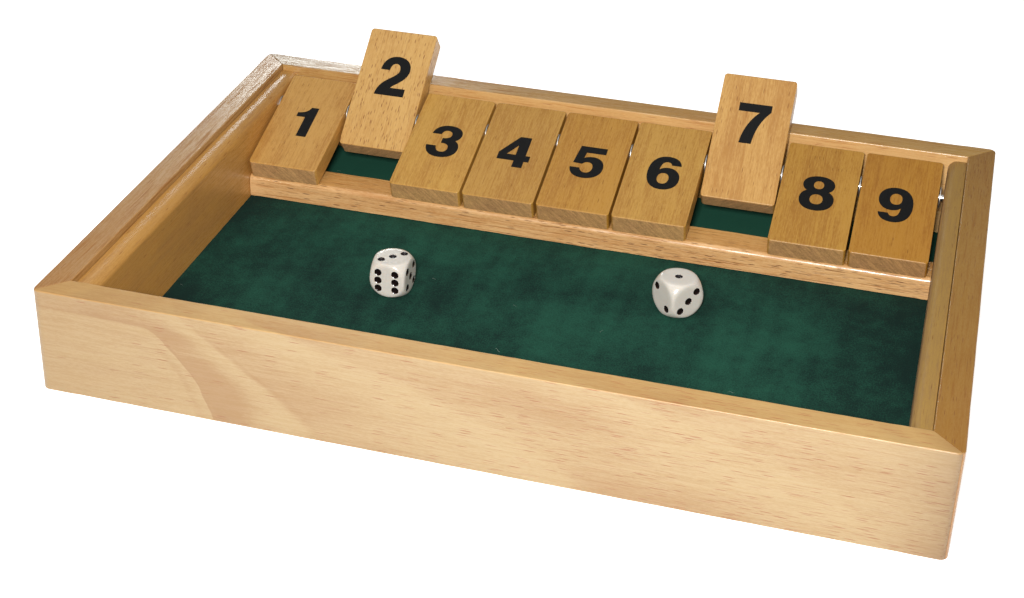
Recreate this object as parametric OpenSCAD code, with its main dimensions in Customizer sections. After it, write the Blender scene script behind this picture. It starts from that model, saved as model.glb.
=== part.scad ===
// Shut the box game: an open wooden tray lined with felt, nine numbered tiles that
// swing on a steel rod, and two dice.
// Millimetres. Z is up and the back of the box is towards +Y. The origin is the
// middle of the box where it stands on the table.

/* [Frame] */
// Height of the frame
frame_h = 45.5; // [40:0.5:60]
// Thickness of the four frame rails
rail_t = 11.5; // [9:0.1:16]
// Depth of the playing space, from the front rail to the rest bar
tray_d = 156; // [120:1:220]
// Radius of the upright corners of the frame
corner_r = 3; // [1:0.1:5]
// Radius of the frame's outer edges, top and bottom
outer_ease = 1.2; // [0.3:0.1:2.5]
// Radius of the frame's inner top edge, on which a flipped tile leans
inner_ease = 0.6; // [0.3:0.1:1.5]

/* [Liner boards] */
// Thickness of the two liner boards
liner_t = 7.9; // [6.5:0.1:14]
// Step from the top of the frame down to the top of a liner board
liner_drop = 2.8; // [1.5:0.1:5]
// Radius of a liner board's inner top edge
liner_round = 4.2; // [1:0.1:6]

/* [Floor] */
// Thickness of the base panel, which lies flush with the frame's underside
panel_t = 5; // [2.5:0.1:6]
// Depth of the rebate that holds the panel's edge
rebate_d = 5.4; // [3:0.1:7]
// Space between the panel's edge and the rebate's wall
panel_gap = 0.2; // [0.1:0.05:0.5]
// Thickness of the felt
felt_t = 1.2; // [0.6:0.1:2.5]

/* [Rest bar] */
// Height of the rest bar above the felt
bar_h = 10.4; // [8:0.1:14]
// Depth of the rest bar, front to back
bar_d = 16; // [12:0.1:20]
// Radius of its front top edge
bar_round = 2.5; // [1.5:0.1:4]
// Radius of its back top edge
bar_ease = 0.8; // [0.3:0.1:1.5]

/* [Tiles] */
// Number of tiles
tile_count = 9; // [8:1:12]
// Width of a tile
tile_w = 33.2; // [28:0.1:40]
// Thickness of a tile
tile_t = 9.3; // [8:0.1:11]
// Length of a tile from the rod to its front end, when it lies flat
tile_long = 45.4; // [40:0.5:56]
// Length of a tile from the rod to its back end
tile_short = 17.6; // [14:0.5:22]
// Radius of a tile's four corners, seen from above
tile_corner = 1.5; // [0.8:0.1:3]
// Radius along a tile's edges
tile_ease = 0.6; // [0.2:0.1:1]
// Slope of a tile that lies on the bar
tile_slope = 17.4; // [14:0.1:20]
// Distance from the bar's front face back to the lower front edge of a tile
tile_setback = 0.5; // [0:0.1:1]
// Space between a tile and what it lies or leans on
seat_gap = 0.15; // [0.1:0.05:0.3]
// Space between the swinging back ends and the back rail
swing_gap = 3.2; // [1.5:0.1:6]
// The first tile that is flipped over
first_flipped = 2; // [1:1:4]
// The second tile that is flipped over
second_flipped = 7; // [5:1:8]

/* [Rod and washers] */
// Diameter of the rod
rod_d = 3; // [2.5:0.1:4]
// Space around the rod in the tiles and washers, on the radius
rod_clear = 0.1; // [0.05:0.01:0.1]
// Space around the rod in the liner boards, on the radius
rod_fit = 0.04; // [0.02:0.01:0.08]
// Space between the rod's end and the side rail
rod_end_gap = 0.3; // [0.1:0.1:1]
// Outside diameter of a washer
washer_d = 9.2; // [8:0.1:12]
// Thickness of a washer
washer_t = 0.5; // [0.4:0.1:1.5]
// Space on each face of a washer between two tiles
washer_play = 0.34; // [0.06:0.02:0.5]
// Free space between the left liner board and the first washer
start_play = 0.06; // [0.04:0.02:2]
// Free space between the last washer and the right liner board
end_play = 1.22; // [0.1:0.02:3]

/* [Dice] */
// Size of a die
die_s = 16; // [12:0.5:20]
// Diameter of the ball that rounds a die's corners, as a share of its size
die_ball = 1.37; // [1.33:0.01:1.5]
// Diameter of a pip at the surface
pip_d = 3.4; // [2:0.1:3.6]
// Depth of a pip
pip_depth = 0.6; // [0.4:0.05:1.2]
// Distance of the outer pips from the middle of a face, as a share of the size
pip_spread = 0.24; // [0.22:0.01:0.27]
// First die: left or right of the middle
die_1_x = -64; // [-90:0.5:-20]
// First die: distance in front of the rest bar
die_1_ahead = 61; // [40:0.5:90]
// First die: turn
die_1_turn = -1.7; // [-20:0.1:20]
// Second die: left or right of the middle
die_2_x = 55; // [20:0.5:90]
// Second die: distance in front of the rest bar
die_2_ahead = 40; // [30:0.5:90]
// Second die: turn
die_2_turn = 44.7; // [20:0.1:60]

/* [Hidden] */
$fn = 96;

// Heights, from the table up
felt_top = panel_t + felt_t;
bar_top = felt_top + bar_h;
liner_top = frame_h - liner_drop;

// Across the box
washer_room = washer_t + 2 * washer_play;
tile_pitch = tile_w + washer_room;
start_space = washer_t + washer_play + start_play;
end_space = washer_t + washer_play + end_play;
tray_w = (tile_count - 1) * tile_pitch + tile_w + start_space + end_space;
frame_w = tray_w + 2 * (liner_t + rail_t);
first_tile_x = -tray_w / 2 + start_space + tile_w / 2;

// Along the box, counted from the rod: the tiles set the bar's place, and the swing
// of their back ends sets the back rail's
tile_half = tile_t / 2;
swing_r = norm([tile_short, tile_half]);
front_foot = tile_long * cos(tile_slope) - tile_half * sin(tile_slope);
rod_to_bar_front = front_foot + tile_setback;
rod_to_back = swing_r + swing_gap;
inner_d = tray_d + rod_to_bar_front + rod_to_back;
frame_d = inner_d + 2 * rail_t;
back_face = inner_d / 2;
rod_y = back_face - rod_to_back;
bar_front = rod_y - rod_to_bar_front;

// A shut tile lies on the bar's rounded front edge, which sets the rod's height
bar_reach = rod_to_bar_front - bar_round;
bar_touch = bar_round + seat_gap + tile_half;
rod_z = bar_top - bar_round + (bar_touch + bar_reach * sin(tile_slope)) / cos(tile_slope);

// A flipped tile leans on the rounded inner edge of the back rail
edge_y = rod_to_back + inner_ease;
edge_z = frame_h - inner_ease - rod_z;
edge_touch = inner_ease + seat_gap + tile_half;
tile_lean = acos(-edge_touch / norm([edge_y, edge_z])) - atan2(edge_y, edge_z);

// A quarter of a square that a round of radius r leaves over, at the outline's corner
module corner_waste(r) {
    difference() {
        square(r + 1);
        circle(r);
    }
}

// A rectangle from the origin to [w, h] with a radius for each corner: low left,
// low right, high right, high left
module soft_rectangle(w, h, radii) {
    places = [[0, 0], [w, 0], [w, h], [0, h]];
    inwards = [[1, 1], [-1, 1], [-1, -1], [1, -1]];
    difference() {
        square([w, h]);
        for (k = [0:3])
            if (radii[k] > 0)
                translate(places[k] + radii[k] * inwards[k]) rotate(180 + 90 * k) corner_waste(radii[k]);
    }
}

// Runs an outline drawn in Y and Z along X, over a length centred on the origin
module along_x(length) {
    rotate([90, 0, 90]) linear_extrude(length, center = true) children();
}

// Runs an outline drawn in X and Z along Y, over a length centred on the origin
module along_y(length) {
    rotate([90, 0, 0]) linear_extrude(length, center = true) children();
}

// A rail whose outer face is at Y = 0 and whose inner face is towards +Y, with its
// ends mitred and the rebate for the base panel
module rail(length) {
    intersection() {
        along_x(length) difference() {
            soft_rectangle(rail_t, frame_h, [outer_ease, 0, inner_ease, outer_ease]);
            translate([rail_t - rebate_d, -1]) square([rebate_d + 1, panel_t + 1]);
        }
        linear_extrude(frame_h) polygon([
            [-length / 2, 0], [length / 2, 0],
            [length / 2 - rail_t, rail_t], [-length / 2 + rail_t, rail_t]
        ]);
    }
}

// The whole frame's outline seen from above, which rounds the upright corners
module frame_outline() {
    linear_extrude(frame_h) translate([-frame_w / 2, -frame_d / 2])
        soft_rectangle(frame_w, frame_d, [corner_r, corner_r, corner_r, corner_r]);
}

// One rail in its place: the sides are 0 front, 1 right, 2 back and 3 left
module frame_rail(side) {
    run = side % 2 == 0 ? frame_w : frame_d;
    depth = side % 2 == 0 ? frame_d : frame_w;
    intersection() {
        rotate(90 * side) translate([0, -depth / 2, 0]) rail(run);
        frame_outline();
    }
}

module front_rail() { color("burlywood") frame_rail(0); }
module right_rail() { color("burlywood") frame_rail(1); }
module back_rail() { color("burlywood") frame_rail(2); }
module left_rail() { color("burlywood") frame_rail(3); }

// Board glued inside a side rail, which carries one end of the rod
module liner(side) {
    board_h = liner_top - panel_t;
    mirror([side < 0 ? 1 : 0, 0, 0]) difference() {
        translate([tray_w / 2, 0, panel_t]) along_y(inner_d)
            soft_rectangle(liner_t, board_h, [0, 0, 0, liner_round]);
        translate([tray_w / 2 - 1, rod_y, rod_z]) rotate([0, 90, 0])
            cylinder(h = liner_t + 2, r = rod_d / 2 + rod_fit);
    }
}

module left_liner() { color("peru") liner(-1); }
module right_liner() { color("peru") liner(1); }

module base_panel() {
    rebate_w = frame_w - 2 * (rail_t - rebate_d + panel_gap);
    rebate_l = frame_d - 2 * (rail_t - rebate_d + panel_gap);
    color("tan") translate([-rebate_w / 2, -rebate_l / 2, 0])
        cube([rebate_w, rebate_l, panel_t]);
}

module playing_felt() {
    color("darkgreen") translate([-tray_w / 2, -inner_d / 2, panel_t])
        cube([tray_w, inner_d, felt_t]);
}

module rest_bar() {
    color("burlywood") translate([0, bar_front, felt_top]) along_x(tray_w)
        soft_rectangle(bar_d, bar_h, [0, 0, bar_ease, bar_round]);
}

module hinge_rod() {
    rod_l = tray_w + 2 * (liner_t - rod_end_gap);
    color("silver") translate([-rod_l / 2, rod_y, rod_z]) rotate([0, 90, 0])
        cylinder(h = rod_l, d = rod_d);
}

// Washer k stands on the left of tile k, and the last one on the right of the last tile
module washer(k) {
    x = first_tile_x + (k - 1.5) * tile_pitch;
    color("silver") translate([x, rod_y, rod_z]) rotate([0, 90, 0]) difference() {
        cylinder(h = washer_t, d = washer_d, center = true);
        cylinder(h = washer_t + 1, r = rod_d / 2 + rod_clear, center = true);
    }
}

// A tile around its bore: the long end is towards -Y and the thickness is along Z
module tile_blank() {
    length = tile_long + tile_short;
    difference() {
        intersection() {
            translate([-tile_w / 2, -tile_long, -tile_half]) linear_extrude(tile_t)
                soft_rectangle(tile_w, length, [tile_corner, tile_corner, tile_corner, tile_corner]);
            translate([0, -tile_long, -tile_half]) along_x(tile_w)
                soft_rectangle(length, tile_t, [tile_ease, tile_ease, tile_ease, tile_ease]);
            translate([-tile_w / 2, 0, -tile_half]) along_y(2 * length)
                soft_rectangle(tile_w, tile_t, [tile_ease, tile_ease, tile_ease, tile_ease]);
        }
        rotate([0, 90, 0]) cylinder(h = tile_w + 1, r = rod_d / 2 + rod_clear, center = true);
    }
}

// Tile k on the rod, lying on the bar or flipped over onto the back rail
module tile(k) {
    turned = k == first_flipped || k == second_flipped;
    angle = turned ? tile_lean - 180 : tile_slope;
    color(turned ? "wheat" : "burlywood")
        translate([first_tile_x + (k - 1) * tile_pitch, rod_y, rod_z])
            rotate([angle, 0, 0]) tile_blank();
}

// Places of the pips on a face, in steps from its middle
function pips(n) = concat(
    n % 2 == 1 ? [[0, 0]] : [],
    n != 1 && n != 3 ? [[-1, 1], [1, -1]] : [],
    n > 2 ? [[1, 1], [-1, -1]] : [],
    n == 6 ? [[-1, 0], [1, 0]] : []
);

// Turns that bring each face of a die to the top: front, right, back, left, top, bottom
function face_turns() = [[90, 0, 0], [90, 0, 90], [90, 0, 180], [90, 0, 270], [0, 0, 0], [180, 0, 0]];

// A die around its middle, with the number of each face in the order above
module die(numbers) {
    // The pip is the cap of a ball that is pip_d wide at the surface
    ball_r = (pip_d * pip_d / 4 + pip_depth * pip_depth) / (2 * pip_depth);
    color("ivory") difference() {
        intersection() {
            cube(die_s, center = true);
            sphere(d = die_s * die_ball);
        }
        for (k = [0:5])
            rotate(face_turns()[k])
                for (p = pips(numbers[k]))
                    translate([p[0] * pip_spread * die_s, p[1] * pip_spread * die_s,
                               die_s / 2 + ball_r - pip_depth])
                        sphere(r = ball_r, $fn = 32);
    }
}

module placed_die(x, ahead, turn, numbers) {
    translate([x, bar_front - ahead, felt_top + die_s / 2]) rotate(turn) die(numbers);
}

module die_1() { placed_die(die_1_x, die_1_ahead, die_1_turn, [6, 5, 1, 2, 3, 4]); }
module die_2() { placed_die(die_2_x, die_2_ahead, die_2_turn, [3, 5, 4, 2, 1, 6]); }

front_rail();
right_rail();
back_rail();
left_rail();
left_liner();
right_liner();
base_panel();
playing_felt();
rest_bar();
hinge_rod();
for (k = [1:tile_count + 1])
    washer(k);
for (k = [1:tile_count])
    tile(k);
die_1();
die_2();
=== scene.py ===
"""A shut the box game: a wooden tray lined with felt, nine numbered tiles that swing on a
steel rod, and two dice. Each wooden board has its own grain, which runs along the board."""

import math

import bmesh
import bpy
from bpy.props import FloatProperty, FloatVectorProperty, IntProperty, PointerProperty
from bpy.types import Operator, Panel, PropertyGroup
from mathutils import Matrix, Vector, noise
from mathutils.geometry import tessellate_polygon


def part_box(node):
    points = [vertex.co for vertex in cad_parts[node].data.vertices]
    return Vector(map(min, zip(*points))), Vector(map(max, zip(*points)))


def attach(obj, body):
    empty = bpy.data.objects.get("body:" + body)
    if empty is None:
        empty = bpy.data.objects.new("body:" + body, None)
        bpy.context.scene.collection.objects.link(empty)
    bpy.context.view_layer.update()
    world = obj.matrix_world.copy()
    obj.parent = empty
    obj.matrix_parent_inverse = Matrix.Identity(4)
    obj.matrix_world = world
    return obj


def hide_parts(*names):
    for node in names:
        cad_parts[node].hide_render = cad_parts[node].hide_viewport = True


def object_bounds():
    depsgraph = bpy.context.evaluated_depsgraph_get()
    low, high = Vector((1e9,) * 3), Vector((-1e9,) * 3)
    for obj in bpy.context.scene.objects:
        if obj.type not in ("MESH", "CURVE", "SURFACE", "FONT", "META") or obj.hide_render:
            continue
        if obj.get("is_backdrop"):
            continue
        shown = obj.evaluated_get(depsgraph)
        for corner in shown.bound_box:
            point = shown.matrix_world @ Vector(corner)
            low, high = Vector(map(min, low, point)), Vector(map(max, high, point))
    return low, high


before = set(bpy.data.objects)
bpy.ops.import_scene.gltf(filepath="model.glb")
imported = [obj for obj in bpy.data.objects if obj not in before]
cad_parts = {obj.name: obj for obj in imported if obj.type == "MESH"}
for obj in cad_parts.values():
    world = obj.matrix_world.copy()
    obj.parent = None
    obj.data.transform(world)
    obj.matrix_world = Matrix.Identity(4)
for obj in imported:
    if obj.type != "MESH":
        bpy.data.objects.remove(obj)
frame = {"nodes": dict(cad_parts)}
CAD_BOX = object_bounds()

bl_info = {
    "name": "Shut the Box Game",
    "version": (1, 0, 0),
    "blender": (4, 5, 0),
    "location": "View3D > Sidebar > Shut the Box",
    "description": "Builds a wooden tray with numbered tiles, felt and dice",
    "category": "Add Mesh",
}

MM = 0.001


def clamped(value):
    """The value, kept between 0 and 1."""
    return min(1.0, max(0.0, value))


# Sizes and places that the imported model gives
FRONT_LOW, FRONT_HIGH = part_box("front_rail")
FELT_LOW, FELT_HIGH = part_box("playing_felt")
PANEL_LOW, PANEL_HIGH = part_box("base_panel")
LINER_LOW, LINER_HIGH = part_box("right_liner")
BAR_LOW, BAR_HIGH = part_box("rest_bar")
ROD_LOW, ROD_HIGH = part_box("hinge_rod")
FRAME_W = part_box("right_rail")[1].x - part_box("left_rail")[0].x
FRAME_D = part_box("back_rail")[1].y - FRONT_LOW.y
FRAME_H = FRONT_HIGH.z
RAIL_T = FRONT_HIGH.y - FRONT_LOW.y
TRAY_W = FELT_HIGH.x - FELT_LOW.x
TRAY_D = FELT_HIGH.y - FELT_LOW.y
HINGE = (ROD_LOW + ROD_HIGH) / 2
ROD_D = ROD_HIGH.z - ROD_LOW.z
TILE_NUMBERS = sorted(int(name[5:]) for name in frame["nodes"] if name.startswith("tile_"))
WASHERS = sorted(name for name in frame["nodes"] if name.startswith("washer_"))


def paint(red, green, blue):
    """A colour as a shader needs it, from the numbers 0 to 255 of a paint chart."""
    return tuple(
        c / 255 / 12.92 if c <= 10 else ((c / 255 + 0.055) / 1.055) ** 2.4 for c in (red, green, blue)
    )


def colour(name, description, default):
    return FloatVectorProperty(
        name=name, description=description, subtype="COLOR", size=3, min=0, max=1, default=default
    )


def number(name, description, default, **more):
    return FloatProperty(name=name, description=description, default=default, **more)


def length(name, description, default):
    return number(name, description, default, min=0, subtype="DISTANCE", unit="LENGTH", precision=5)


def share(name, description, default, most=1.0):
    return number(name, description, default, min=0, max=most)


def turn(name, description, degrees):
    return number(name, description, math.radians(degrees), subtype="ANGLE", unit="ROTATION")


class FrameSettings(PropertyGroup):
    """Frame rails, liner boards and base panel"""

    early_wood: colour("Early Wood", "Colour of the wood between two year rings", paint(176, 138, 91))
    late_wood: colour("Late Wood", "Colour of the wood in a year ring", paint(158, 113, 67))
    pores: colour("Pores", "Colour of the short pore lines", paint(128, 70, 38))
    liner_wood: colour("Liner Wood", "Colour of the two liner boards", paint(177, 129, 66))
    panel_wood: colour("Panel Wood", "Colour of the board under the felt", paint(196, 164, 120))
    year: length("Year Width", "Distance between two year rings", 17 * MM)
    corner: length("Corner Radius", "Radius of the frame's upright corners", 3 * MM)
    outer_ease: length("Outer Edge", "Radius of the frame's outer edges", 0.55 * MM)
    inner_ease: length("Inner Edge", "Radius of the frame's inner top edge", 0.6 * MM)
    joint_ease: length("Joint Edge", "Radius of the edges where two boards meet", 0.22 * MM)
    liner_round: length("Liner Edge", "Radius of a liner board's inner top edge", 4.2 * MM)
    sanding: length("Sanding", "How far hand sanding cuts into an edge", 0.16 * MM)


class BarSettings(PropertyGroup):
    """Rest bar"""

    early_wood: colour("Early Wood", "Colour of the wood between two year rings", paint(201, 160, 110))
    late_wood: colour("Late Wood", "Colour of the wood in a year ring", paint(172, 122, 72))
    pores: colour("Pores", "Colour of the short pore lines", paint(98, 52, 27))
    front_round: length("Front Edge", "Radius of the edge on which the tiles lie", 2.5 * MM)
    back_ease: length("Back Edge", "Radius of the back edge", 0.8 * MM)
    sanding: length("Sanding", "How far hand sanding cuts into an edge", 0.3 * MM)


class TileSettings(PropertyGroup):
    """Tiles and their numerals"""

    early_wood: colour("Early Wood", "Colour of the wood between two year rings", paint(177, 131, 65))
    late_wood: colour("Late Wood", "Colour of the wood in a year ring", paint(156, 107, 46))
    pores: colour("Pores", "Colour of the short pore lines", paint(112, 66, 28))
    end_wood: colour("End Grain", "Colour of a sawn end", paint(170, 136, 104))
    flecks: colour("Flecks", "Colour of the pore lines in an open-grained tile", paint(98, 44, 14))
    ink: colour("Ink", "Colour of the printed numerals", paint(11, 11, 11))
    corner: length("Corner Radius", "Radius of a tile's four corners", 1.5 * MM)
    ease: length("End Edge Radius", "Radius along the edges of a tile's ends", 0.6 * MM)
    long_ease: length("Long Edge Radius", "Radius along a tile's long edges", 0.16 * MM)
    bore_space: length("Bore Space", "Space around the rod, on the radius", 0.1 * MM)
    numeral: length("Numeral Height", "Height of a flat-topped numeral", 20.2 * MM)
    ink_thickness: length("Ink Thickness", "Height of the ink over the wood", 0.05 * MM)
    far_centre: length("Far Numeral", "Distance of the other face's numeral from the long end", 24.5 * MM)


class HingeSettings(PropertyGroup):
    """Rod and washers"""

    steel: colour("Steel", "Colour of the rod and washers", (0.62, 0.60, 0.57))
    washer_ease: length("Washer Edge", "Radius of a washer's edges", 0.12 * MM)
    washer_bore: length("Washer Bore", "Diameter of a washer's hole", 3.2 * MM)
    tilt: turn("Washer Tilt", "How far a washer may lean on the rod", 0.5)


class FeltSettings(PropertyGroup):
    """Felt"""

    deep: colour("Deep Green", "Colour of the nap seen from the dark side", paint(8, 29, 26))
    bright: colour("Bright Green", "Colour of the nap seen from the bright side", paint(28, 73, 57))
    lint: colour("Lint", "Colour of the lint on the felt", paint(150, 165, 150))
    sink: length("Sink", "How far the felt's surface dips between fibres", 0.18 * MM)
    fibre: length("Fibre Length", "Length of a fibre of the nap", 0.75 * MM)
    fibre_thickness: length("Fibre Thickness", "Thickness of a fibre", 0.07 * MM)
    fibres: IntProperty(name="Fibres", description="Fibres on the whole sheet", default=20000, min=0)
    lint_fibres: IntProperty(name="Lint Fibres", description="Loose fibres on the felt", default=26, min=0)


class DiceSettings(PropertyGroup):
    """Dice"""

    body: colour("Body", "Colour of the dice", paint(202, 195, 184))
    pip: colour("Pips", "Colour of the paint in the pips", paint(24, 12, 12))
    ball: share("Ball", "Diameter of the ball that rounds the corners, as a share of the size", 1.37, 2)
    softness: number("Edge Power", "Higher makes harder edges", 30, min=4, max=80)
    pip_width: length("Pip Width", "Diameter of a pip at the surface", 3.4 * MM)
    pip_depth: length("Pip Depth", "Depth of a pip", 0.6 * MM)
    pip_spread: share("Pip Spread", "Distance of outer pips from the middle, as a share of the size", 0.24)
    turn_1: turn("First Turn", "Turn of the first die", -1.7)
    turn_2: turn("Second Turn", "Turn of the second die", 44.7)


class StageSettings(PropertyGroup):
    """Floor, lights and camera"""

    floor: colour("Floor", "Colour of the floor", (0.86, 0.86, 0.86))
    floor_glow: share("Floor Glow", "Light that the floor gives by itself", 0.75, 4)
    sky: share("Sky", "Strength of the light from all round", 0.24, 10)
    key: number("Key Light", "Power of the light near the camera", 8.1, unit="POWER")
    window: number("Window", "Power of the light from the back left", 2.8, unit="POWER")
    top: number("Top Light", "Power of the light overhead", 7.2, unit="POWER")
    target: FloatVectorProperty(
        name="Target", description="Point on the table under the middle of the camera's view",
        subtype="TRANSLATION", size=3, default=(-0.06676, 0.06118, 0),
    )
    distance: length("Distance", "Distance of the camera from its target", 0.84175)
    azimuth: turn("Azimuth", "Turn of the camera round the object", 17.262)
    elevation: turn("Elevation", "Height of the camera over the table", 28.523)
    roll: turn("Roll", "Roll of the camera", 0.379)
    lens: number("Lens", "Focal length", 63.41, unit="CAMERA")
    shift: FloatVectorProperty(
        name="Shift", description="Shift of the lens, in widths of the picture", size=2,
        default=(0.07031, -0.07715),
    )


class ShutTheBoxSettings(PropertyGroup):
    """All settings of the game"""

    frame: PointerProperty(type=FrameSettings)
    bar: PointerProperty(type=BarSettings)
    tiles: PointerProperty(type=TileSettings)
    hinge: PointerProperty(type=HingeSettings)
    felt: PointerProperty(type=FeltSettings)
    dice: PointerProperty(type=DiceSettings)
    stage: PointerProperty(type=StageSettings)


def set_input(tree, socket, value):
    """Links the value to the socket if it comes from a node, and else sets it."""
    if isinstance(value, bpy.types.NodeSocket):
        tree.links.new(value, socket)
    elif socket.type == "RGBA" and len(value) == 3:
        socket.default_value = (*value, 1)
    else:
        socket.default_value = value


class Graph:
    """Adds nodes to a tree. An input takes a value, or an output to link from."""

    def __init__(self, tree):
        self.tree = tree

    def add(self, kind, inputs=(), **settings):
        """Adds a node and gives its outputs."""
        node = self.tree.nodes.new(kind)
        for name, value in settings.items():
            setattr(node, name, value)
        for key, value in dict(inputs).items():
            set_input(self.tree, node.inputs[key], value)
        return node.outputs

    def first(self, kind, inputs=(), **settings):
        """Adds a node and gives its first output."""
        return self.add(kind, inputs, **settings)[0]

    def geometry(self, kind, inputs=(), **settings):
        return self.first(f"GeometryNode{kind}", inputs, **settings)

    def realized(self, instances, material):
        """Plain geometry of one material from instances."""
        real = self.geometry("RealizeInstances", {0: instances})
        return self.geometry("SetMaterial", {0: real, "Material": material})

    def math(self, operation, *values):
        return self.first("ShaderNodeMath", enumerate(values), operation=operation)

    def plus(self, a, b):
        return self.math("ADD", a, b)

    def minus(self, a, b):
        return self.math("SUBTRACT", a, b)

    def times(self, a, b):
        return self.math("MULTIPLY", a, b)

    def times_plus(self, a, b, c):
        return self.math("MULTIPLY_ADD", a, b, c)

    def vector(self, operation, *values):
        outputs = self.add("ShaderNodeVectorMath", enumerate(values), operation=operation)
        return outputs["Value" if operation in ("LENGTH", "DOT_PRODUCT") else "Vector"]

    def scaled(self, vector, factor):
        return self.first("ShaderNodeVectorMath", {0: vector, "Scale": factor}, operation="SCALE")

    def parts(self, vector):
        return self.add("ShaderNodeSeparateXYZ", {0: vector})

    def joined(self, x, y, z):
        return self.first("ShaderNodeCombineXYZ", {0: x, 1: y, 2: z})

    def smooth(self, value, start, end, low=0.0, high=1.0):
        """Runs smoothly from low to high while the value goes from start to end."""
        inputs = enumerate((value, start, end, low, high))
        return self.first("ShaderNodeMapRange", inputs, interpolation_type="SMOOTHSTEP")

    def noise(self, place, stretch=(1, 1, 1), detail=2.0, roughness=0.5):
        """Smooth noise around zero, about from -0.3 to 0.3."""
        spot = self.vector("MULTIPLY", place, stretch)
        inputs = {"Vector": spot, "Scale": 1.0, "Detail": detail, "Roughness": roughness}
        return self.minus(self.first("ShaderNodeTexNoise", inputs), 0.5)

    def mix(self, factor, first, second, blend_type="MIX"):
        """Mixes two colours."""
        inputs = {0: factor, 6: first, 7: second}
        return self.add("ShaderNodeMix", inputs, data_type="RGBA", blend_type=blend_type)[2]

    def bump(self, height, distance, strength=1.0):
        return self.first("ShaderNodeBump", {"Strength": strength, "Distance": distance, "Height": height})

    def attribute(self, name, output="Fac"):
        return self.add("ShaderNodeAttribute", attribute_name=name)[output]

    def place(self):
        """The place on the piece, in its own coordinates."""
        return self.add("ShaderNodeTexCoord")["Object"]

    def group(self, name, build, inputs):
        """Adds a node group, built at its first use, and gives its outputs."""
        return self.add("ShaderNodeGroup", inputs, node_tree=known_group(name, build))


SOCKET_KINDS = {float: "Float", int: "Int", tuple: "Vector"}


def node_group(name, kind, inputs, outputs):
    """An empty node group: its graph, its input node's outputs and a function that links an
    output. An input is named with its default, or with its kind where it has none."""
    tree = bpy.data.node_groups.new(name, kind)
    for label, default in inputs.items():
        bare = isinstance(default, str)
        kind_of_socket = default if bare else SOCKET_KINDS[type(default)]
        socket = tree.interface.new_socket(label, in_out="INPUT", socket_type=f"NodeSocket{kind_of_socket}")
        if not bare:
            socket.default_value = default
    for label, kind_of_socket in outputs.items():
        tree.interface.new_socket(label, in_out="OUTPUT", socket_type=f"NodeSocket{kind_of_socket}")
    given = tree.nodes.new("NodeGroupInput").outputs
    result = tree.nodes.new("NodeGroupOutput").inputs

    def put(label, value):
        tree.links.new(value, result[label])

    return Graph(tree), given, put


def known_group(name, build):
    """A node group that is built once."""
    return bpy.data.node_groups.get(name) or build(name)


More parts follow.
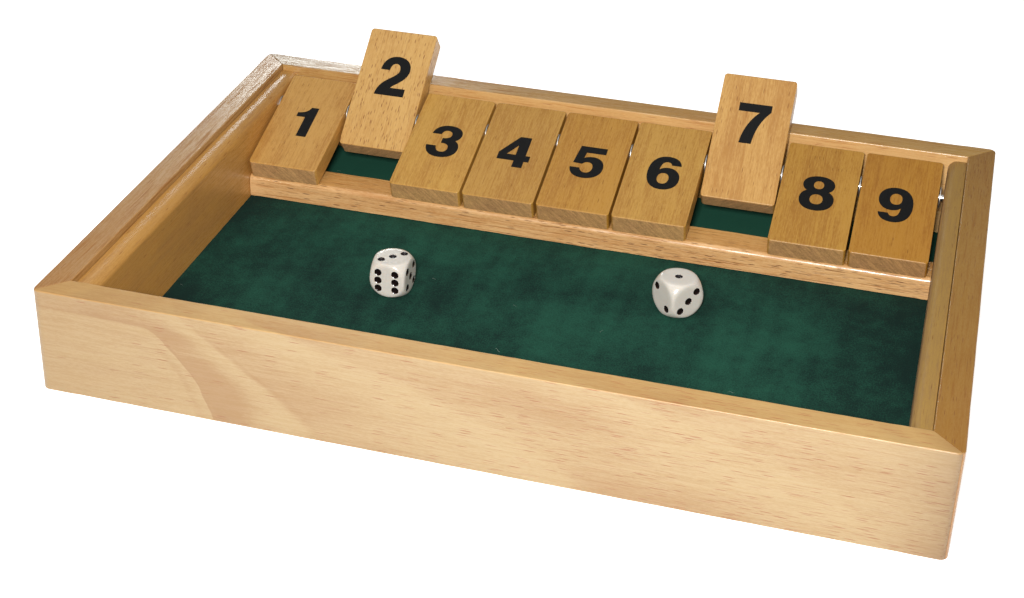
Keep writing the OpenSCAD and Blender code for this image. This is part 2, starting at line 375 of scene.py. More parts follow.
def build_grain(name):
    """Solid wood: year rings round a tilted heart line, streaks, and pores cut as short lines."""
    graph, given, put = node_group(
        name,
        "ShaderNodeTree",
        {
            "Board": "Vector",
            "Seed": 0.0,
            "Heart": (0.2, -40.0, 60.0),
            "Year": 14.0,
            "Ring Shift": 0.0,
            "Flare": 0.0,
            "Core": 0.0,
            "Blur": 0.0,
            "Bands": 0.5,
            "Streaks": 1.0,
            "Lines": 1.0,
            "Pores": 0.5,
            "Pore Length": 4.0,
            "Pore Width": 0.3,
            "Early Wood": "Color",
            "Late Wood": "Color",
            "Pore Colour": "Color",
        },
        {"Color": "Color", "Height": "Float", "Pore Mask": "Float", "Polish": "Float"},
    )
    spot = graph.scaled(given["Board"], 1 / MM)
    seed = given["Seed"]
    shift = graph.vector("MULTIPLY", graph.joined(seed, seed, seed), (61.7, 23.9, 47.3))
    free = graph.vector("ADD", spot, shift)
    along, across, deep = graph.parts(spot)
    heart = graph.parts(given["Heart"])
    year = given["Year"]

    # Distance from the heart line, which wanders
    slow = graph.times(graph.noise(free, (0.007, 0.022, 0.022)), year)
    side = graph.plus(graph.minus(across, heart[1]), graph.times(slow, 0.9))
    depth = graph.plus(graph.times_plus(along, heart[0], deep), heart[2])
    # Near the root the rings flare outwards, more with each stretch of this length
    flare_length = 20
    board_end = -128.0
    root = graph.math("EXPONENT", graph.times(graph.math("MAXIMUM", along, board_end), -1 / flare_length))
    depth = graph.minus(depth, graph.times(root, given["Flare"]))
    distance = graph.vector("LENGTH", graph.joined(side, depth, 0.0))
    fine = graph.times(graph.noise(free, (0.02, 0.1, 0.1), 2.0), year)
    ring = graph.math("DIVIDE", graph.times_plus(fine, 0.16, distance), year)
    ring = graph.plus(ring, given["Ring Shift"])
    cycle = graph.math("FRACT", ring)
    count = graph.plus(graph.math("FLOOR", ring), seed)
    fading = graph.plus(graph.smooth(cycle, 0.05, 0.16, 0.45, 0.0), graph.smooth(cycle, 0.3, 0.95, 0.55, 0.0))
    # The rings begin outside the core, and blur with their distance from it
    outside = graph.minus(distance, given["Core"])
    beyond = graph.math("DIVIDE", outside, year)
    rise = graph.times_plus(graph.math("MAXIMUM", beyond, 0.0), given["Blur"], 0.055)
    late = graph.times(graph.smooth(cycle, 0.0, rise), fading)
    season = graph.add("ShaderNodeTexWhiteNoise", {"W": count}, noise_dimensions="1D")["Value"]
    band = graph.times(late, graph.times_plus(season, 0.8, 0.2))
    patchy = graph.smooth(graph.noise(free, (0.011, 0.04, 0.04), 2.0), -0.14, 0.14, 0.35, 1.2)
    band = graph.times(band, graph.times(patchy, given["Bands"]))
    band = graph.times(band, graph.smooth(outside, -4.0, 0.0))

    # Streaks and hair lines along the board
    cloud = graph.noise(free, (0.012, 0.05, 0.05), 2.0)
    mottle = graph.noise(free, (0.07, 0.16, 0.16), 3.0, 0.6)
    streak = graph.noise(free, (0.022, 0.34, 0.34), 4.0, 0.6)
    hair = graph.noise(free, (0.07, 1.3, 1.3), 3.0, 0.65)
    mote = graph.noise(free, (0.45, 1.9, 1.9), 2.0, 0.7)
    line = graph.smooth(graph.noise(free, (0.028, 0.9, 0.9), 2.0, 0.6), 0.07, 0.22)
    line = graph.times(line, given["Lines"])
    shade = graph.times_plus(streak, 0.65, graph.times(hair, 0.95))
    shade = graph.times_plus(mote, 0.85, shade)
    shade = graph.times_plus(line, 0.4, shade)
    shade = graph.times_plus(mottle, 0.5, shade)
    shade = graph.times(graph.times_plus(cloud, 0.8, shade), given["Streaks"])
    shade = graph.plus(graph.plus(shade, band), 0.28)
    wood = graph.mix(graph.smooth(shade, -0.1, 1.1), given["Early Wood"], given["Late Wood"])

    # Pores: long cells of which some hold a line, more of them where the wood is open
    open_wood = graph.smooth(graph.noise(free, (0.010, 0.06, 0.06), 2.0), -0.16, 0.16)
    chance = graph.times(given["Pores"], graph.times_plus(open_wood, 0.75, 0.25))
    reach = 0.3
    pores = []
    for longer, thinner, strength in ((1.0, 1.0, 1.0), (2.3, 0.8, 0.55)):
        along_scale = graph.math("DIVIDE", 2 * reach / longer, given["Pore Length"])
        across_scale = graph.math("DIVIDE", 2 * reach / thinner, given["Pore Width"])
        place = graph.vector("MULTIPLY", free, graph.joined(along_scale, across_scale, across_scale))
        cell = graph.add("ShaderNodeTexVoronoi", {"Vector": place, "Scale": 1.0, "Randomness": 1.0})
        there, weight = graph.parts(cell["Color"])[:2]
        dash = graph.smooth(cell["Distance"], reach * 0.5, reach, strength, 0.0)
        dash = graph.times(dash, graph.times_plus(weight, 0.65, 0.35))
        pores.append(graph.times(dash, graph.math("LESS_THAN", there, chance)))
    pore = graph.math("MAXIMUM", *pores)
    put("Color", graph.mix(graph.times(pore, 0.85), wood, given["Pore Colour"]))
    rise = graph.times_plus(mote, 0.4, graph.times(hair, 0.5))
    rise = graph.times_plus(line, -0.4, rise)
    put("Height", graph.times_plus(pore, -1.0, rise))
    put("Pore Mask", pore)
    broken = graph.math("MINIMUM", graph.math("MAXIMUM", pore, graph.times(line, 0.7)), 1.0)
    even = graph.smooth(graph.times_plus(hair, 0.9, graph.times(mote, 0.7)), -0.16, 0.16, 1.5, 0.4)
    put("Polish", graph.times(even, graph.times_plus(broken, -0.85, 1.0)))
    return graph.tree


def build_edge_wear_and_painted_highlight(name):
    """A mask of the edges of a box-shaped board, broken up by noise, for wear and a painted highlight along
    them.
    """
    graph, given, put = node_group(
        name,
        "ShaderNodeTree",
        {"Board": "Vector", "Half": "Vector", "Width": 1.0},
        {"Mask": "Float"},
    )
    spot = graph.scaled(given["Board"], 1 / MM)
    inside = graph.vector("SUBTRACT", given["Half"], graph.vector("ABSOLUTE", spot))
    a, b, c = graph.parts(inside)
    low = graph.math("MINIMUM", a, b)
    high = graph.math("MAXIMUM", a, b)
    second = graph.math("MAXIMUM", low, graph.math("MINIMUM", high, c))
    worn = graph.smooth(graph.noise(spot, (0.25, 0.25, 0.25), 3.0), -0.2, 0.2, 0.5, 1.3)
    put("Mask", graph.smooth(second, 0.0, graph.times(given["Width"], worn), 1.0, 0.0))
    return graph.tree


def build_end_cut(name):
    """Sawn end grain: darker, greyer, with the saw's slanting lines."""
    graph, given, put = node_group(
        name,
        "ShaderNodeTree",
        {"Color": "Color", "Board": "Vector", "Cut": 0.0, "End Grain": "Color"},
        {"Color": "Color", "Height": "Float"},
    )
    spot = graph.scaled(given["Board"], 1 / MM)
    along, across, deep = graph.parts(spot)
    slant = graph.joined(graph.times_plus(deep, 0.9, across), graph.times_plus(across, -0.9, deep), along)
    saw = graph.noise(slant, (0.95, 0.1, 0.3), 3.0, 0.6)
    dots = graph.noise(spot, (1.0, 1.6, 1.6), 2.0)
    bright = graph.times_plus(saw, 1.3, graph.times_plus(dots, 0.7, 1.0))
    end = graph.scaled(graph.mix(0.5, given["Color"], given["End Grain"]), bright)
    put("Color", graph.mix(given["Cut"], given["Color"], end))
    put("Height", graph.times(saw, given["Cut"]))
    return graph.tree


def build_smudges(name):
    """Slow unevenness of a polished surface, for its roughness."""
    graph, given, put = node_group(
        name,
        "ShaderNodeTree",
        {"Place": "Vector", "Size": 20.0, "Middle": 0.4, "Spread": 0.1},
        {"Roughness": "Float", "Mask": "Float"},
    )
    spot = graph.scaled(given["Place"], graph.math("DIVIDE", 1 / MM, given["Size"]))
    patch = graph.noise(spot, (1, 1, 1), 4.0, 0.6)
    put("Roughness", graph.times_plus(patch, graph.times(given["Spread"], 2.0), given["Middle"]))
    put("Mask", graph.smooth(patch, -0.2, 0.2))
    return graph.tree


def build_nap(name):
    """Brushed nap: patches that lie one way or the other, faint strokes and fine fibres, with painted light
    and shade from the mesh that shift the patches towards the bright or the deep green.
    """
    graph, given, put = node_group(
        name,
        "ShaderNodeTree",
        {"Place": "Vector", "Lift": 0.0, "Deep": "Color", "Bright": "Color"},
        {"Color": "Color", "Height": "Float"},
    )
    spot = graph.scaled(given["Place"], 1 / MM)
    patch = graph.noise(spot, (0.016, 0.022, 0.02), 5.0, 0.62)
    stroke = graph.noise(spot, (0.11, 0.012, 0.1), 3.0, 0.5)
    cloud = graph.noise(spot, (0.16, 0.13, 0.1), 4.0, 0.6)
    fibre = graph.noise(spot, (1.7, 1.4, 1.5), 3.0, 0.7)
    coarse = graph.times_plus(patch, 1.2, graph.times(stroke, 0.5))
    fine = graph.times_plus(cloud, 0.55, graph.times(fibre, 1.3))
    lie = graph.smooth(graph.plus(given["Lift"], graph.plus(coarse, fine)), -0.45, 0.45)
    put("Color", graph.mix(lie, given["Deep"], given["Bright"]))
    put("Height", graph.times_plus(fibre, 1.0, graph.times(cloud, 0.6)))
    return graph.tree


def known_material(name, dress, *values, **more):
    """A principled material that is built once. The dress function gives the surface's inputs."""
    if name in bpy.data.materials:
        return bpy.data.materials[name]
    material = bpy.data.materials.new(name)
    material.use_nodes = True
    graph = Graph(material.node_tree)
    surface = material.node_tree.nodes["Principled BSDF"]
    for key, value in dress(graph, *values, **more).items():
        set_input(graph.tree, surface.inputs[key], value)
    return material


def shaded(tint, factor):
    """The colour, darker or brighter."""
    return [c * factor for c in tint]


def smudges(graph, place, size, middle, spread):
    """Uneven roughness, and a mask of where it is."""
    inputs = {"Place": place, "Size": size, "Middle": middle, "Spread": spread}
    return graph.group("Smudges", build_smudges, inputs)


def wood_surface(graph, woods, half, bands, pores, end=(0, 0, 0), gloss=0.4, sheen=0.5, rough=1.0, **grain):
    """Lacquered wood. The board's own coordinates, tone, seed, rings and pores come from the
    mesh. The grain's other inputs are given by their names."""
    early = woods[0]
    dirt = paint(74, 46, 24)
    board = graph.attribute("board", "Vector")
    seed = graph.attribute("board_seed")
    inputs = {name.replace("_", " ").title(): value for name, value in grain.items()}
    inputs.update(zip(("Early Wood", "Late Wood", "Pore Colour"), woods))
    inputs.update(
        {
            "Board": board,
            "Seed": seed,
            "Ring Shift": graph.times(seed, 0.37),
            "Bands": graph.times(graph.attribute("board_rings"), bands),
            "Pores": graph.times(graph.attribute("board_pores"), pores),
        }
    )
    figure = graph.group("Wood Grain", build_grain, inputs)
    # The board's tone, partly its own colour and partly painted light and shade, multiplies the grain's
    # colour
    toned = graph.mix(1.0, figure["Color"], graph.attribute("board_tone_and_painted_light", "Vector"), "MULTIPLY")
    inputs = {"Color": toned, "Board": board, "Cut": graph.attribute("end_cut"), "End Grain": end}
    cut = graph.group("End Cut", build_end_cut, inputs)
    edges = graph.group("Edge Wear And Painted Highlight", build_edge_wear_and_painted_highlight, {"Board": board, "Half": half, "Width": 1.1})
    # Edge wear and a painted highlight: the edges turn towards the early wood's paler colour
    wear_and_painted_highlight = graph.mix(graph.times(edges["Mask"], 0.2), cut["Color"], early)
    smudged = smudges(graph, board, 26.0, 0.42, 0.16)
    height = graph.plus(figure["Height"], cut["Height"])
    return {
        "Base Color": graph.mix(graph.times(graph.attribute("seam"), 0.6), wear_and_painted_highlight, dirt),
        "Roughness": graph.times_plus(figure["Pore Mask"], 0.25, smudged["Roughness"]),
        "Coat Weight": graph.times(figure["Polish"], gloss),
        "Coat Roughness": 0.28,
        "Specular IOR Level": sheen,
        "Normal": graph.bump(height, 0.06 * MM * rough, 0.6),
    }


def ink_surface(graph, settings):
    """Screen-printed black, with a hint of the wood's grain."""
    spot = graph.scaled(graph.attribute("board", "Vector"), 1 / MM)
    grain = graph.smooth(graph.noise(spot, (0.06, 2.4, 2.4), 3.0, 0.6), -0.3, 0.3)
    return {
        "Base Color": graph.mix(grain, settings.ink, shaded(settings.ink, 1.7)),
        "Roughness": graph.smooth(grain, 0, 1, 0.5, 0.6),
        "Specular IOR Level": 0.15,
        "Normal": graph.bump(grain, 0.02 * MM),
    }


def steel_surface(graph, settings, roughness):
    """Bright steel with fine lines round it."""
    place = graph.place()
    lines = graph.noise(graph.scaled(place, 1 / MM), (6.0, 0.4, 0.4), 2.0)
    smudged = smudges(graph, place, 3.0, roughness, 0.15)
    return {
        "Base Color": graph.mix(smudged["Mask"], settings.steel, shaded(settings.steel, 0.8)),
        "Metallic": 1.0,
        "Roughness": smudged["Roughness"],
        "Normal": graph.bump(lines, 0.01 * MM, 0.4),
    }


def felt_surface(graph, settings):
    """Green felt with a brushed nap."""
    # The felt's painted light and shade, stored on its mesh, shifts the nap's colour
    inputs = {"Place": graph.place(), "Lift": graph.attribute("nap_painted_light")}
    inputs.update({"Deep": settings.deep, "Bright": settings.bright})
    nap = graph.group("Brushed Nap", build_nap, inputs)
    return {
        "Base Color": nap["Color"],
        "Roughness": 0.95,
        "Specular IOR Level": 0.15,
        "Sheen Weight": 0.25,
        "Sheen Roughness": 0.6,
        "Sheen Tint": settings.bright,
        "Normal": graph.bump(nap["Height"], 0.15 * MM, 0.7),
    }


def lint_surface(graph, settings):
    """Matt loose fibres, some paler than others."""
    patch = graph.smooth(graph.noise(graph.scaled(graph.place(), 1 / MM), (0.1, 0.1, 0.1)), -0.2, 0.2)
    return {"Base Color": graph.mix(patch, settings.lint, shaded(settings.lint, 0.6)), "Roughness": 0.9}


def dice_surface(graph, settings):
    """Polished ivory-white plastic."""
    smudged = smudges(graph, graph.place(), 5.0, 0.22, 0.1)
    return {
        "Base Color": graph.mix(smudged["Mask"], settings.body, shaded(settings.body, 0.95)),
        "Roughness": smudged["Roughness"],
        "Subsurface Weight": 0.25,
        "Subsurface Radius": (1.0, 0.7, 0.5),
        "Subsurface Scale": 1.5 * MM,
        "Coat Weight": 0.3,
        "Coat Roughness": 0.08,
    }


def pip_surface(graph, settings):
    """Glossy black paint with a warm cast."""
    smudged = smudges(graph, graph.place(), 1.0, 0.18, 0.12)
    tint = graph.mix(smudged["Mask"], settings.pip, shaded(settings.pip, 0.5))
    return {"Base Color": tint, "Roughness": smudged["Roughness"]}


def floor_surface(graph, settings):
    """Pale matt floor with a glow of its own."""
    return {
        "Base Color": settings.floor,
        "Roughness": 0.9,
        "Specular IOR Level": 0.1,
        "Emission Color": (1, 1, 1),
        "Emission Strength": settings.floor_glow,
    }


def link_object(name, data):
    """A new object in the scene."""
    piece = bpy.data.objects.new(name, data)
    bpy.context.scene.collection.objects.link(piece)
    return piece


def mesh_object(name, points, faces):
    """A mesh object whose faces point outwards."""
    mesh = bpy.data.meshes.new(name)
    mesh.from_pydata([tuple(p) for p in points], [], faces)
    solid = bmesh.new()
    solid.from_mesh(mesh)
    bmesh.ops.recalc_face_normals(solid, faces=solid.faces[:])
    solid.to_mesh(mesh)
    solid.free()
    return link_object(name, mesh)


def settle(piece):
    """Replaces the piece's mesh by what its modifiers make of it."""
    depsgraph = bpy.context.evaluated_depsgraph_get()
    mesh = bpy.data.meshes.new_from_object(
        piece.evaluated_get(depsgraph), preserve_all_data_layers=True, depsgraph=depsgraph
    )
    piece.modifiers.clear()
    piece.data = mesh


def crisp_shading(piece, degrees):
    """Smooth faces, with crisp edges where they meet at more than this angle."""
    piece.data.shade_smooth()
    piece.data.set_sharp_from_angle(angle=math.radians(degrees))


def drill(piece, radius, start, end, sides=48):
    """Bores a hole along X."""
    ring = [(math.cos(a), math.sin(a)) for a in (2 * math.pi * k / sides for k in range(sides))]
    points = [(x, HINGE.y + radius * c, HINGE.z + radius * s) for x in (start, end) for c, s in ring]
    faces = [(k, (k + 1) % sides, sides + (k + 1) % sides, sides + k) for k in range(sides)]
    faces += [tuple(range(sides)), tuple(range(sides, 2 * sides))]
    drill_bit = mesh_object("drill_bit", points, faces)
    cut = piece.modifiers.new("bore", "BOOLEAN")
    cut.operation = "DIFFERENCE"
    cut.solver = "EXACT"
    cut.object = drill_bit
    settle(piece)
    bpy.data.objects.remove(drill_bit)


def store(mesh, name, values, kind="FLOAT", domain="POINT"):
    """Stores values on the mesh for its material."""
    data = mesh.attributes.new(name, kind, domain).data
    data.foreach_set("vector" if kind == "FLOAT_VECTOR" else "value", values)


def dress_board(
    piece, place, axes, material, seed, tone=(1, 1, 1), pores=1.0, rings=1.0, seam=None, ends=False
):
    """Shades a board and stores what its material reads. The axes turn the board's own
    coordinates to along the grain, across it and into the face. The tone, pores, rings and
    seam may be functions of the place on the board."""
    crisp_shading(piece, 40)
    # The large flat faces set the shading of the rounds beside them
    piece.modifiers.new("shading", "WEIGHTED_NORMAL").keep_sharp = True
    settle(piece)
    mesh = piece.data
    back = place.inverted()
    own = [back @ v.co for v in mesh.vertices]

    def valued(value):
        return [value(p) if callable(value) else value for p in own]

    for name, value in (("board", lambda p: axes @ p), ("board_tone_and_painted_light", tone)):
        store(mesh, name, [c for vector in valued(value) for c in vector], "FLOAT_VECTOR")
    given = {"board_seed": seed, "board_pores": pores, "board_rings": rings, "seam": seam}
    for name, value in given.items():
        if value is not None:
            store(mesh, name, valued(value))
    if ends:
        grain = (place.to_3x3() @ axes.to_3x3().inverted() @ Vector((1, 0, 0))).normalized()
        store(mesh, "end_cut", [float(abs(f.normal.dot(grain)) > 0.8) for f in mesh.polygons], domain="FACE")
    mesh.materials.clear()
    mesh.materials.append(material)


def finish_piece(piece, body, slot, *nodes):
    """The piece moves with the body, and the nodes that it takes the place of are hidden."""
    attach(piece, body)
    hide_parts(*nodes)


# Ways to look at a board: which of its own directions runs along the grain and across it
GRAIN_X_FACE_Z = Matrix.Identity(4)
GRAIN_X_FACE_Y = Matrix(((1, 0, 0, 0), (0, 0, 1, 0), (0, 1, 0, 0), (0, 0, 0, 1)))
GRAIN_Y_FACE_Z = Matrix(((0, 1, 0, 0), (1, 0, 0, 0), (0, 0, 1, 0), (0, 0, 0, 1)))
# Half length in millimetres of a board whose ends take no edge wear and no painted highlight
ENDLESS = 1000.0


def soft_outline(corners, steps=5):
    """A closed outline with square corners, each (x, y, radius), and for each point whether
    it lies on a round."""
    points = []
    for k, (x, y, radius) in enumerate(corners):
        corner = Vector((x, y))
        before = (Vector(corners[k - 1][:2]) - corner).normalized()
        after = (Vector(corners[(k + 1) % len(corners)][:2]) - corner).normalized()
        if radius <= 0:
            points.append((corner, False))
            continue
        middle = corner + radius * (before + after)
        for step in range(steps + 1):
            angle = math.pi / 2 * step / steps
            points.append((middle - radius * (after * math.cos(angle) + before * math.sin(angle)), True))
    return points


def offset_outline(points, distance):
    """The outline moved inwards. It runs anticlockwise."""
    moved = []
    for k, (point, rounded) in enumerate(points):
        sides = (point - points[k - 1][0], points[(k + 1) % len(points)][0] - point)
        first, second = (Vector((-s.y, s.x)).normalized() for s in sides)
        moved.append((point + distance * (first + second) / (1 + first.dot(second)), rounded))
    return moved


def sanding_cut(run, point, seed):
    """How deep hand sanding cuts a round edge here, from 0 to 1."""
    spot = Vector((run / (14 * MM), seed * 7.3, point.x * 40))
    waves = noise.noise(spot) + 0.5 * noise.noise(spot * 3.7)
    return clamped(0.5 + 0.5 * waves)


def sanded(outline, run, amount, seed):
    """The outline with its rounds a little uneven at this place along the board."""
    points = []
    for k, (point, rounded) in enumerate(outline):
        if rounded and amount:
            side = outline[(k + 1) % len(outline)][0] - outline[k - 1][0]
            outward = Vector((side.y, -side.x)).normalized()
            point = point - outward * amount * sanding_cut(run, point, seed)
        points.append(point)
    return points


def lofted(rows):
    """Faces between rows of points, with both ends closed."""
    across = len(rows[0])
    last = (len(rows) - 1) * across
    faces = []
    for start in range(0, last, across):
        for j in range(across):
            here, beside = start + j, start + (j + 1) % across
            faces.append((here, beside, beside + across, here + across))
    faces += [tuple(range(across)), tuple(range(last, last + across))]
    return [p for row in rows for p in row], faces


def straight_board(name, outline, half, place, end_ease, sanding, seed, step=4 * MM):
    """A board with its outline across Y and Z, that runs along X, with its ends eased."""
    small = offset_outline(outline, end_ease)
    pieces = max(2, round(2 * (half - end_ease) / step))
    runs = [-half + end_ease + 2 * (half - end_ease) * k / pieces for k in range(pieces + 1)]
    rows = [[place @ Vector((-half, p.x, p.y)) for p, _ in small]]
    for run in runs:
        amount = sanding if abs(run) < half - 2 * step else 0
        rows.append([place @ Vector((run, p.x, p.y)) for p in sanded(outline, run, amount, seed)])
    rows.append([place @ Vector((half, p.x, p.y)) for p, _ in small])
    return mesh_object(name, *lofted(rows))


def mitred_board(name, outline, half, corner, place, joint_ease, sanding, seed, step=4 * MM):
    """A board that ends in two mitres and turns half way round each corner of the frame.
    In its own frame the outer face is at Y = 0 and the board runs along X."""
    least = 0.3 * MM
    straight_from = 3 * MM

    def spot(inset, back):
        """Place at this distance along the board from its right mitre."""
        radius = max(corner - inset, least)
        quarter = radius * math.pi / 4
        if back >= quarter:
            return half - inset - radius - (back - quarter), inset
        angle = (quarter - back) / radius
        return half - inset - radius + radius * math.sin(angle), inset + radius * (1 - math.cos(angle))

    def row(points, back, mirrored):
        places = [(*spot(p.x, back), p.y) for p in points]
        return [place @ Vector((-x if mirrored else x, y, z)) for x, y, z in places]

    full = [p for p, _ in outline]
    small = [p for p, _ in offset_outline(outline, joint_ease)]
    # Rows of points this far from the mitre, close together where the corner turns
    backs = (joint_ease, 0.7 * MM, 1.2 * MM, 1.7 * MM, 2.2 * MM, straight_from)
    left = [row(small, 0, True)] + [row(full, back, True) for back in backs]
    right = [row(small, 0, False)] + [row(full, back, False) for back in backs]
    pieces = round(2 * (half - RAIL_T) / step)
    middle = []
    for k in range(1, pieces):
        share_along = 2 * k / pieces - 1
        amount = sanding if 2 < k < pieces - 2 else 0
        points = sanded(outline, share_along * half, amount, seed)
        ends = [share_along * spot(p.x, straight_from)[0] for p in points]
        middle.append([place @ Vector((x, p.x, p.y)) for x, p in zip(ends, points)])
    return mesh_object(name, *lofted(left + middle + right[::-1]))


def rail_tone_and_painted_light(face_tones_and_painted_light, ends, steep, half, ease):
    """Tone of a rail, partly its own colour and partly painted light and shade: its outer, top and inner
    faces each take a tone, and both ends take a tone of their own.
    """
    outer, top, inner = (Vector(tone) for tone in face_tones_and_painted_light)
    left, right = (Vector(end) for end in ends)
    plain = Vector((1, 1, 1))

    # Painted light and shade: each face takes its own tone, and the ends' tones come over it
    def tone(p):
        face = (inner if p.y > RAIL_T / 2 else outer).lerp(top, clamped((p.z - FRAME_H) / ease + 1))
        along = p.x / half
        return face * (plain.lerp(left, along ** 2) if along < 0 else plain.lerp(right, along ** steep))

    return tone


def stops_along(stops, half):
    """Runs through evenly spaced stops along the board."""
    last = len(stops) - 1

    def value(p):
        along = clamped((p.x + half) / (2 * half)) * last
        k = min(int(along), last - 1)
        return stops[k] + (stops[k + 1] - stops[k]) * (along - k)

    return value


class SHUTBOX_OT_frame_rails(Operator):
    """Makes the four mitred rails"""

    bl_idname = "shut_box.frame_rails"
    bl_label = "Frame Rails"

    def execute(self, context):
        settings = context.scene.shut_box.frame
        panel_space = 0.2 * MM
        rebate = PANEL_LOW.y - FRONT_LOW.y - panel_space
        outline = soft_outline(
            [
                (0, 0, settings.outer_ease),
                (rebate, 0, 0),
                (rebate, PANEL_HIGH.z, 0),
                (RAIL_T, PANEL_HIGH.z, 0),
                (RAIL_T, FRAME_H, settings.inner_ease),
                (0, FRAME_H, settings.outer_ease),
            ]
        )
        axes = GRAIN_X_FACE_Y @ Matrix.Translation((0, -RAIL_T / 2, -FRAME_H / 2))
        common = {
            "half": (ENDLESS, FRAME_H / 2 / MM, RAIL_T / 2 / MM), "bands": 1.0, "pores": 1.0,
            "year": settings.year / MM, "pore_width": 0.36,
        }
        woods = [settings.early_wood, settings.late_wood, settings.pores]
        reddened = woods[:2] + [[c * k for c, k in zip(settings.pores, (1.35, 1.05, 1.0))]]
        satin = {"gloss": 0.3, "sheen": 0.5, "rough": 1.6}
        polished = {"gloss": 0.95, "sheen": 0.25}
        same = (1, 1, 1)
        # Left and right are as seen from outside the rail. The heart line has a slope, a height and a
        # depth. The rings' strength and the share of pores are given at even stops from left to
        # right. The tones are those of the outer, top and inner faces, partly the board's own colour and
        # partly painted light and shade. The tones of the left and the right end come over them, and a
        # steeper rise keeps the right one closer to its end.
        rails = {
            "front_rail": {
                "seed": 55.0, "rings": (1.2, 2.3, 1.7, 1.6, 1.0), "pores": (0.0, 1.6),
                "face_tones_and_painted_light": ((0.71, 0.855, 0.985), (1.17, 1.26, 1.12), (0.9, 0.86, 0.72)),
                "ends": ((0.93, 0.86, 0.76), (0.62, 0.54, 0.46)), "steep": 14,
                "wood": {
                    "woods": reddened, "heart": (0.155, -30.0, 78.7), "pore_length": 6.5, "streaks": 0.65,
                    "lines": 0.3, "flare": 0.0788, "core": 42.0, "blur": 0.06, **satin,
                },
            },
            "right_rail": {
                "seed": 2.0, "rings": (0.35, 0.35), "pores": (0.4, 0.9),
                "face_tones_and_painted_light": ((0.8, 0.72, 0.42), (0.68, 0.6, 0.22), (0.68, 0.6, 0.22)),
                "ends": ((0.93, 0.84, 0.75), same), "steep": 2,
                "wood": {
                    "woods": woods, "heart": (0.05, -62.0, 48.0), "pore_length": 5.0, "streaks": 0.9, **satin,
                },
            },
            "back_rail": {
                "seed": 3.0, "rings": (0.35, 0.35), "pores": (0.7, 1.3),
                "face_tones_and_painted_light": ((0.9, 0.86, 0.65), (1.0, 0.94, 0.5), (1.5, 1.5, 1.35)),
                "ends": ((1.04, 1.12, 1.25), (0.7, 0.68, 0.54)), "steep": 2,
                "wood": {
                    "woods": woods, "heart": (-0.08, 55.0, 40.0), "pore_length": 7.0, "streaks": 0.9,
                    "lines": 2.2, "rough": 1.2, **polished,
                },
            },
            "left_rail": {
                "seed": 4.0, "rings": (0.5, 0.4), "pores": (2.0, 0.7),
                "face_tones_and_painted_light": ((0.88, 0.86, 0.7), (1.0, 0.94, 0.78), (1.0, 0.94, 0.78)),
                "ends": (same, (0.87, 0.8, 0.68)), "steep": 2,
                "wood": {
                    "woods": woods, "heart": (0.04, -50.0, 66.0), "pore_length": 8.0, "streaks": 0.9,
                    "lines": 3.0, "rough": 1.1, **polished,
                },
            },
        }
        for side, (node, look) in enumerate(rails.items()):
            run, depth = (FRAME_W, FRAME_D) if side % 2 == 0 else (FRAME_D, FRAME_W)
            half = run / 2
            place = Matrix.Rotation(side * math.pi / 2, 4, "Z") @ Matrix.Translation((0, -depth / 2, 0))
            piece = mitred_board(
                f"{node}_wood", outline, half, settings.corner, place, settings.joint_ease,
                settings.sanding, side,
            )
            strength = stops_along(look["rings"], half)

            def outer_rings(p, strength=strength):
                """The rings show less towards the inner side."""
                return strength(p) * (1 - 0.85 * clamped(p.y / (RAIL_T / 2)))

            def seam(p, half=half):
                return max(0.0, 1 - (half - p.y - abs(p.x)) / math.sqrt(2) / settings.joint_ease)

            material = known_material(f"{node}_lacquer", wood_surface, **common, **look["wood"])
            tone = rail_tone_and_painted_light(look["face_tones_and_painted_light"], look["ends"], look["steep"], half, settings.outer_ease)
            pores = stops_along(look["pores"], half)
            dress_board(piece, place, axes, material, look["seed"], tone, pores, outer_rings, seam)
            finish_piece(piece, "root", "frame_wood", node)
        return {"FINISHED"}


